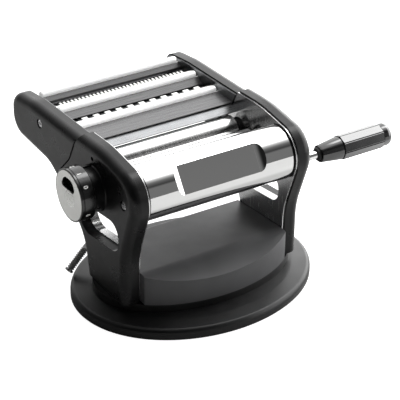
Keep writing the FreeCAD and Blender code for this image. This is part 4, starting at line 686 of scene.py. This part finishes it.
# Operators
class PASTA_OT_stage(bpy.types.Operator):
    """Build the camera, the pale floor and the studio light"""
    bl_idname = "pasta.stage"
    bl_label = "Studio"

    def execute(self, context):
        self.make_camera(context)
        self.make_floor()
        self.make_light(context)
        context.scene.view_settings.view_transform = "Standard"
        return {"FINISHED"}

    def make_camera(self, context):
        """Camera at the photograph's angle, with the base where the photograph has it."""
        s = studio()
        turn, rise, roll = s.view_turn, s.view_rise, s.view_roll
        back = Vector((-math.sin(turn) * math.cos(rise), -math.cos(turn) * math.cos(rise),
                       math.sin(rise)))
        right = Vector((math.cos(turn), -math.sin(turn), 0.0))
        up = back.cross(right)
        right_rolled = right * math.cos(roll) + up * math.sin(roll)
        up_rolled = up * math.cos(roll) - right * math.sin(roll)
        pixel_lens = s.lens / SENSOR_WIDTH * IMAGE_SIDE
        half = IMAGE_SIDE / 2
        across = (s.origin_u - half) / pixel_lens * s.distance
        above = (half - s.origin_v) / pixel_lens * s.distance
        place = back * s.distance - right_rolled * across - up_rolled * above
        bpy.ops.object.camera_add(location=place)
        camera = context.object
        camera.name = "camera"
        turned = Matrix((right_rolled, up_rolled, back)).transposed()
        camera.rotation_euler = turned.to_euler()
        camera.data.sensor_width = SENSOR_WIDTH
        camera.data.lens = s.lens
        camera.data.clip_end = CAMERA_REACH
        context.scene.camera = camera

    def make_floor(self):
        """Pale floor, white to the camera, that lights the machine from the front and the crank."""
        s = studio()
        start_clean()
        bpy.ops.mesh.primitive_plane_add(size=s.floor_side, location=(0, 0, 0))
        floor = bpy.context.object
        floor.name = "floor"
        finish = Finish("studio_floor", s.floor_tone, roughness=0.55, level=0.2)
        finish.vary_roughness(finish.noise(scale=3.0, detail=2.0), amount=0.05)
        finish.set("Emission Color", WHITE)
        tree = finish.tree
        path = tree.nodes.new("ShaderNodeLightPath")
        lifted = add_step(tree, "MULTIPLY", path.outputs["Is Camera Ray"], s.floor_glow)
        axes = split_axes(tree, finish.place)
        right = add_step(tree, "MULTIPLY",
                         add_range(tree, axes["X"], *FLOOR_CRANK_SIDE, high=s.right_glow),
                         add_range(tree, axes["Y"], *FLOOR_CRANK_FRONT))
        forward = add_step(tree, "MULTIPLY", axes["Y"], -1.0)
        ahead = add_range(tree, forward, *FLOOR_AHEAD, high=s.front_glow)
        total = add_step(tree, "ADD", add_step(tree, "ADD", lifted, right), ahead)
        finish.link(total, "Emission Strength")
        floor.data.materials.append(finish.material)

    def make_light(self, context):
        """A white room above and behind, grey in front, with a long light and a card."""
        s = studio()
        world = bpy.data.worlds.new("studio")
        context.scene.world = world
        world.use_nodes = True
        tree = world.node_tree
        place = tree.nodes.new("ShaderNodeTexCoord")
        axes = split_axes(tree, place.outputs["Generated"])
        forward = add_step(tree, "MULTIPLY", axes["Y"], -1.0)
        angle = add_step(tree, "ARCTAN2", axes["Z"], forward)
        room = tree.nodes["Background"]
        tree.links.new(self.room_colour(tree, axes["X"], angle), room.inputs["Color"])
        room.inputs["Strength"].default_value = s.back_light
        across = add_window(tree, angle, s.top_angle, *LONG_LIGHT_SIDES)
        along = add_window(tree, axes["X"], LONG_LIGHT_MIDDLE, *LONG_LIGHT_ENDS)
        long_light = add_step(tree, "MULTIPLY", add_step(tree, "MULTIPLY", across, along),
                              s.top_light)
        card = add_range(tree, axes["X"], *CARD_EDGE, high=s.right_light)
        lamps = tree.nodes.new("ShaderNodeBackground")
        tree.links.new(add_step(tree, "ADD", long_light, card), lamps.inputs["Strength"])
        lit = tree.nodes.new("ShaderNodeAddShader")
        tree.links.new(room.outputs["Background"], lit.inputs[0])
        tree.links.new(lamps.outputs["Background"], lit.inputs[1])
        plain = tree.nodes.new("ShaderNodeBackground")
        plain.inputs["Color"].default_value = WHITE
        path = tree.nodes.new("ShaderNodeLightPath")
        choose = tree.nodes.new("ShaderNodeMixShader")
        tree.links.new(path.outputs["Is Camera Ray"], choose.inputs["Fac"])
        tree.links.new(lit.outputs["Shader"], choose.inputs[1])
        tree.links.new(plain.outputs["Background"], choose.inputs[2])
        tree.links.new(choose.outputs["Shader"], tree.nodes["World Output"].inputs["Surface"])

    def room_colour(self, tree, towards_crank, angle):
        """Brightness of the room, by the angle over the top and darker on the dial side."""
        s = studio()
        ramp = tree.nodes.new("ShaderNodeValToRGB")
        turn = add_range(tree, angle, -math.pi, math.pi, smooth=False)
        tree.links.new(turn, ramp.inputs["Fac"])
        grey = s.front_light / s.back_light
        elements = ramp.color_ramp.elements
        while len(elements) < len(ROOM_BAND):
            elements.new(0.5)
        for element, (degrees, behind, ahead) in zip(elements, ROOM_BAND):
            element.position = (degrees + 180.0) / 360.0
            element.color = (*[behind + ahead * grey] * 3, 1.0)
        side = add_range(tree, towards_crank, *ROOM_SIDES, low=s.left_share)
        shade = tree.nodes.new("ShaderNodeMix")
        shade.data_type = "RGBA"
        shade.blend_type = "MULTIPLY"
        shade.inputs["Factor"].default_value = 1.0
        tree.links.new(ramp.outputs["Color"], shade.inputs["A"])
        tree.links.new(side, shade.inputs["B"])
        return shade.outputs["Result"]


class PASTA_OT_covers(bpy.types.Operator):
    """Finish the four moulded side covers"""
    bl_idname = "pasta.covers"
    bl_label = "Side covers"

    def execute(self, context):
        dress(COVERS)
        return {"FINISHED"}


class PASTA_OT_plates(bpy.types.Operator):
    """Finish the steel side plates, rods, screws and nuts"""
    bl_idname = "pasta.plates"
    bl_label = "Plates and screws"

    def execute(self, context):
        dress(PLATES + FASTENERS)
        return {"FINISHED"}


class PASTA_OT_guard(bpy.types.Operator):
    """Finish the chrome front guard and its end caps"""
    bl_idname = "pasta.guard"
    bl_label = "Front guard"

    def execute(self, context):
        dress(("front_guard", "guard_end_caps"))
        return {"FINISHED"}


class PASTA_OT_rollers(bpy.types.Operator):
    """Finish the smooth rollers with their gears, bearings and scrapers"""
    bl_idname = "pasta.rollers"
    bl_label = "Smooth rollers"

    def execute(self, context):
        dress(SMOOTH_ROLLERS + GEARS + BEARINGS + SCRAPERS)
        return {"FINISHED"}


class PASTA_OT_cutters(bpy.types.Operator):
    """Finish the cutters, the sheet guides and the combs"""
    bl_idname = "pasta.cutters"
    bl_label = "Cutter unit"

    def execute(self, context):
        dress(CUTTERS + BAR_GUIDES + COMBS + ("feed_guide",))
        # The tie rods take the cutters' darkened steel, so painted shade lies on them too
        dress(("cutter_tie_rods",), slot="cutter_steel")
        return {"FINISHED"}


class PASTA_OT_dial(bpy.types.Operator):
    """Finish the thickness dial and print the numbers 0 to 9 round its rim"""
    bl_idname = "pasta.dial"
    bl_label = "Thickness dial"

    def execute(self, context):
        dress(DIAL)
        self.make_coil()
        for number in range(10):
            self.print_number(number)
        return {"FINISHED"}

    def make_coil(self):
        """Coil round the dial's shaft."""
        p = sizes()
        low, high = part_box("dial_spring")
        outer = (high.z - low.z) / 2
        length = high.x - low.x
        coil = screw_coil(p.coil_wire, outer - p.coil_wire, length)
        coil.location = (low.x, (low.y + high.y) / 2, (low.z + high.z) / 2)
        settle("dial_coil", slot_of("dial_spring"), "dial_axle", ("dial_spring",), smooth=60.0)
        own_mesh(coil)

    def print_number(self, number):
        """One number, read with its top towards the dial's face."""
        p = sizes()
        low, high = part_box("dial_knob")
        axis = centre_of("dial_knob")
        rim = (high.z - low.z) / 2
        middle = (low.x + high.x) / 2
        start_clean()
        bpy.ops.object.text_add(location=(0, 0, 0))
        text = bpy.context.object
        text.data.body = str(number)
        text.data.size = p.digit_height * FONT_SHARE
        text.data.align_x = "CENTER"
        text.data.align_y = "CENTER"
        text.data.extrude = p.digit_relief
        text.data.offset = p.digit_weight
        text.data.resolution_u = 4
        bpy.ops.object.convert(target="MESH")
        piece = bpy.context.object
        angle = p.first_digit - number * p.digit_step
        for vertex in piece.data.vertices:
            across, up, out = vertex.co
            turn = angle - across / rim
            reach = rim + out
            vertex.co = (middle - up, axis.y + reach * math.cos(turn),
                         axis.z + reach * math.sin(turn))
        settle("dial_number_" + str(number), "white_plastic", "dial")


class PASTA_OT_crank(bpy.types.Operator):
    """Finish the crank rod and its collar, and model the grip with its flat panels"""
    bl_idname = "pasta.crank"
    bl_label = "Crank"

    def execute(self, context):
        dress(("crank_rod", "grip_collar"))
        self.make_grip()
        return {"FINISHED"}

    def make_grip(self):
        """Turned core with a coned nose and a domed cap, and flat panels round its middle."""
        low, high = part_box("crank_grip")
        length, outer = high.x - low.x, (high.z - low.z) / 2
        core, shoulder = outer - GRIP_CORE, outer - GRIP_SHOULDER
        cap = length - GRIP_CAP
        nose_end, cap_start = GRIP_NOSE - GRIP_GAP, cap + GRIP_GAP
        rings = [(length - GRIP_END_WALL, GRIP_BORE), (GRIP_MOUTH_END, GRIP_BORE)]
        rings += in_metres(GRIP_MOUTH)
        rings += [(nose_end - GRIP_CHAMFER, shoulder),
                  (nose_end - GRIP_DRAFT, shoulder - GRIP_CHAMFER), (nose_end, core),
                  (cap_start - GRIP_DRAFT, core), (cap_start, shoulder - GRIP_CHAMFER)]
        for i in range(DOME_STEPS):
            turn = DOME_STEP * i
            rings.append((length - DOME_HEIGHT + DOME_HEIGHT * math.sin(turn) ** DOME_POWER,
                          shoulder * math.cos(turn) ** DOME_POWER))
        body = turn_rings(rings, steps=96, ring_closes=False)
        panels = [self.make_panel(i, outer, GRIP_NOSE, cap) for i in range(sizes().panel_count)]
        start_clean()
        for piece in (*panels, body):
            piece.select_set(True)
        bpy.context.view_layer.objects.active = body
        bpy.ops.object.join()
        body.rotation_euler = (0.0, math.radians(90.0), 0.0)
        body.location = (low.x, (low.y + high.y) / 2, (low.z + high.z) / 2)
        settle("grip_panelled", "grip_black", "grip", ("crank_grip",), smooth=30.0)

    def make_panel(self, number, outer, start, end):
        """One flat panel along the grip, with softened edges."""
        p = sizes()
        half_turn = math.pi / p.panel_count
        flat = outer * math.cos(half_turn)
        width = 2 * outer * math.sin(half_turn) - p.panel_gap
        middle = (flat - PANEL_THICK / 2, 0.0, (start + end) / 2)
        start_clean()
        bpy.ops.mesh.primitive_cube_add(size=1.0, location=middle)
        panel = bpy.context.object
        panel.scale = (PANEL_THICK, width, end - start)
        bpy.ops.object.transform_apply(location=True, rotation=True, scale=True)
        apply_modifier(panel, "BEVEL", width=PANEL_BEVEL, segments=1, limit_method="ANGLE")
        panel.rotation_euler = (0.0, 0.0, half_turn * (2 * number + 1))
        bpy.ops.object.transform_apply(location=True, rotation=True, scale=True)
        return panel


class PASTA_OT_base(bpy.types.Operator):
    """Finish the base and the housing, and model the rubber foot ring"""
    bl_idname = "pasta.base"
    bl_label = "Base"

    def execute(self, context):
        dress(("base_shell", "mechanism_housing"))
        self.make_foot_ring()
        return {"FINISHED"}

    def make_foot_ring(self):
        """Oval ring with grooved tread under the rim of the base."""
        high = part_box("foot_pad")[1]
        outer, thick = high.x, high.z
        inner = outer - RING_WIDTH
        half, deep = TREAD_WIDTH / 2, TREAD_DEPTH
        rings = [(thick, inner), (0.2 * MM, inner), (0.0, inner + 0.3 * MM)]
        count = sizes().tread_count
        for i in range(count):
            middle = inner + (outer - inner) * (i + 1) / (count + 1)
            rings += [(0.0, middle - half), (deep, middle - half / 2),
                      (deep, middle + half / 2), (0.0, middle + half)]
        rings += [(0.0, outer - 0.4 * MM), (0.3 * MM, outer), (thick, outer)]
        piece = turn_rings(rings, steps=160, ring_closes=True)
        piece.scale = (1.0, high.y / high.x, 1.0)
        settle("foot_ring", "rubber", "frame", ("foot_pad",))


class PASTA_OT_suction(bpy.types.Operator):
    """Finish the suction mechanism and model its rubber cup and the lever's sleeve"""
    bl_idname = "pasta.suction"
    bl_label = "Suction foot"

    def execute(self, context):
        dress(SUCTION)
        self.make_cup()
        self.make_sleeve()
        return {"FINISHED"}

    def make_cup(self):
        """Thin rubber bowl with a moulded boss."""
        low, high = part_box("suction_cup")
        reach, top, foot = high.x, high.z, low.z
        under = in_metres(CUP_UNDER) + [(foot, reach - 1.4 * MM)]
        lip = [(foot + 0.1 * MM, reach - 0.3 * MM), (foot + 0.5 * MM, reach)]
        over = in_metres(CUP_OVER) + [(top - 0.5 * MM, CUP_BOSS), (top, CUP_BOSS - 0.6 * MM),
                                      (top, CUP_BORE)]
        turn_rings(under + lip + over, steps=120, ring_closes=True)
        cup = settle("cup_rubber", "rubber", "frame", ("suction_cup",), smooth=60.0)
        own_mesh(cup)

    def make_sleeve(self):
        """Rubber sleeve with rounded ribs, on the lower end of the lever."""
        p = sizes()
        axis = SLEEVE_TIP - SLEEVE_START
        pitch = axis.length / p.rib_count
        rings = [(0.0, SLEEVE_BORE), (0.0, SLEEVE_CORE)]
        for i in range(p.rib_count):
            for share, height in RIB_SHAPE:
                rings.append((pitch * (i + share), SLEEVE_CORE + p.rib_height * height))
        rings += [(axis.length, SLEEVE_CORE), (axis.length, SLEEVE_BORE)]
        piece = turn_rings(rings, steps=48, ring_closes=True)
        piece.rotation_euler = axis.to_track_quat("Z", "Y").to_euler()
        piece.location = SLEEVE_START
        settle("sleeve_rubber", "lever_grey", "lever", ("lever_sleeve",), smooth=50.0)


class PASTA_PT_panel(bpy.types.Panel):
    """Sizes, colours and steps of the pasta machine's looks"""
    bl_idname = "PASTA_PT_panel"
    bl_label = "Pasta machine"
    bl_space_type = "VIEW_3D"
    bl_region_type = "UI"
    bl_category = "Pasta Machine"

    def draw(self, context):
        for group in (studio(), sizes(), colours()):
            box = self.layout.box()
            for name in group.__annotations__:
                box.prop(group, name)
        for operator in OPERATORS:
            self.layout.operator(operator.bl_idname)


GROUPS = (StudioSizes, PieceSizes, FinishColours)
OPERATORS = (PASTA_OT_stage, PASTA_OT_covers, PASTA_OT_plates, PASTA_OT_guard, PASTA_OT_rollers,
             PASTA_OT_cutters, PASTA_OT_dial, PASTA_OT_crank, PASTA_OT_base, PASTA_OT_suction)


def register():
    for item in GROUPS + OPERATORS + (PASTA_PT_panel,):
        bpy.utils.register_class(item)
    bpy.types.Scene.pasta_studio = bpy.props.PointerProperty(type=StudioSizes)
    bpy.types.Scene.pasta_sizes = bpy.props.PointerProperty(type=PieceSizes)
    bpy.types.Scene.pasta_colours = bpy.props.PointerProperty(type=FinishColours)


def unregister():
    del bpy.types.Scene.pasta_colours
    del bpy.types.Scene.pasta_sizes
    del bpy.types.Scene.pasta_studio
    for item in reversed(GROUPS + OPERATORS + (PASTA_PT_panel,)):
        bpy.utils.unregister_class(item)


def main():
    register()
    bpy.ops.pasta.stage()
    bpy.ops.pasta.covers()
    bpy.ops.pasta.plates()
    bpy.ops.pasta.guard()
    bpy.ops.pasta.rollers()
    bpy.ops.pasta.cutters()
    bpy.ops.pasta.dial()
    bpy.ops.pasta.crank()
    bpy.ops.pasta.base()
    bpy.ops.pasta.suction()
    start_clean()


if __name__ == "__main__":
    main()
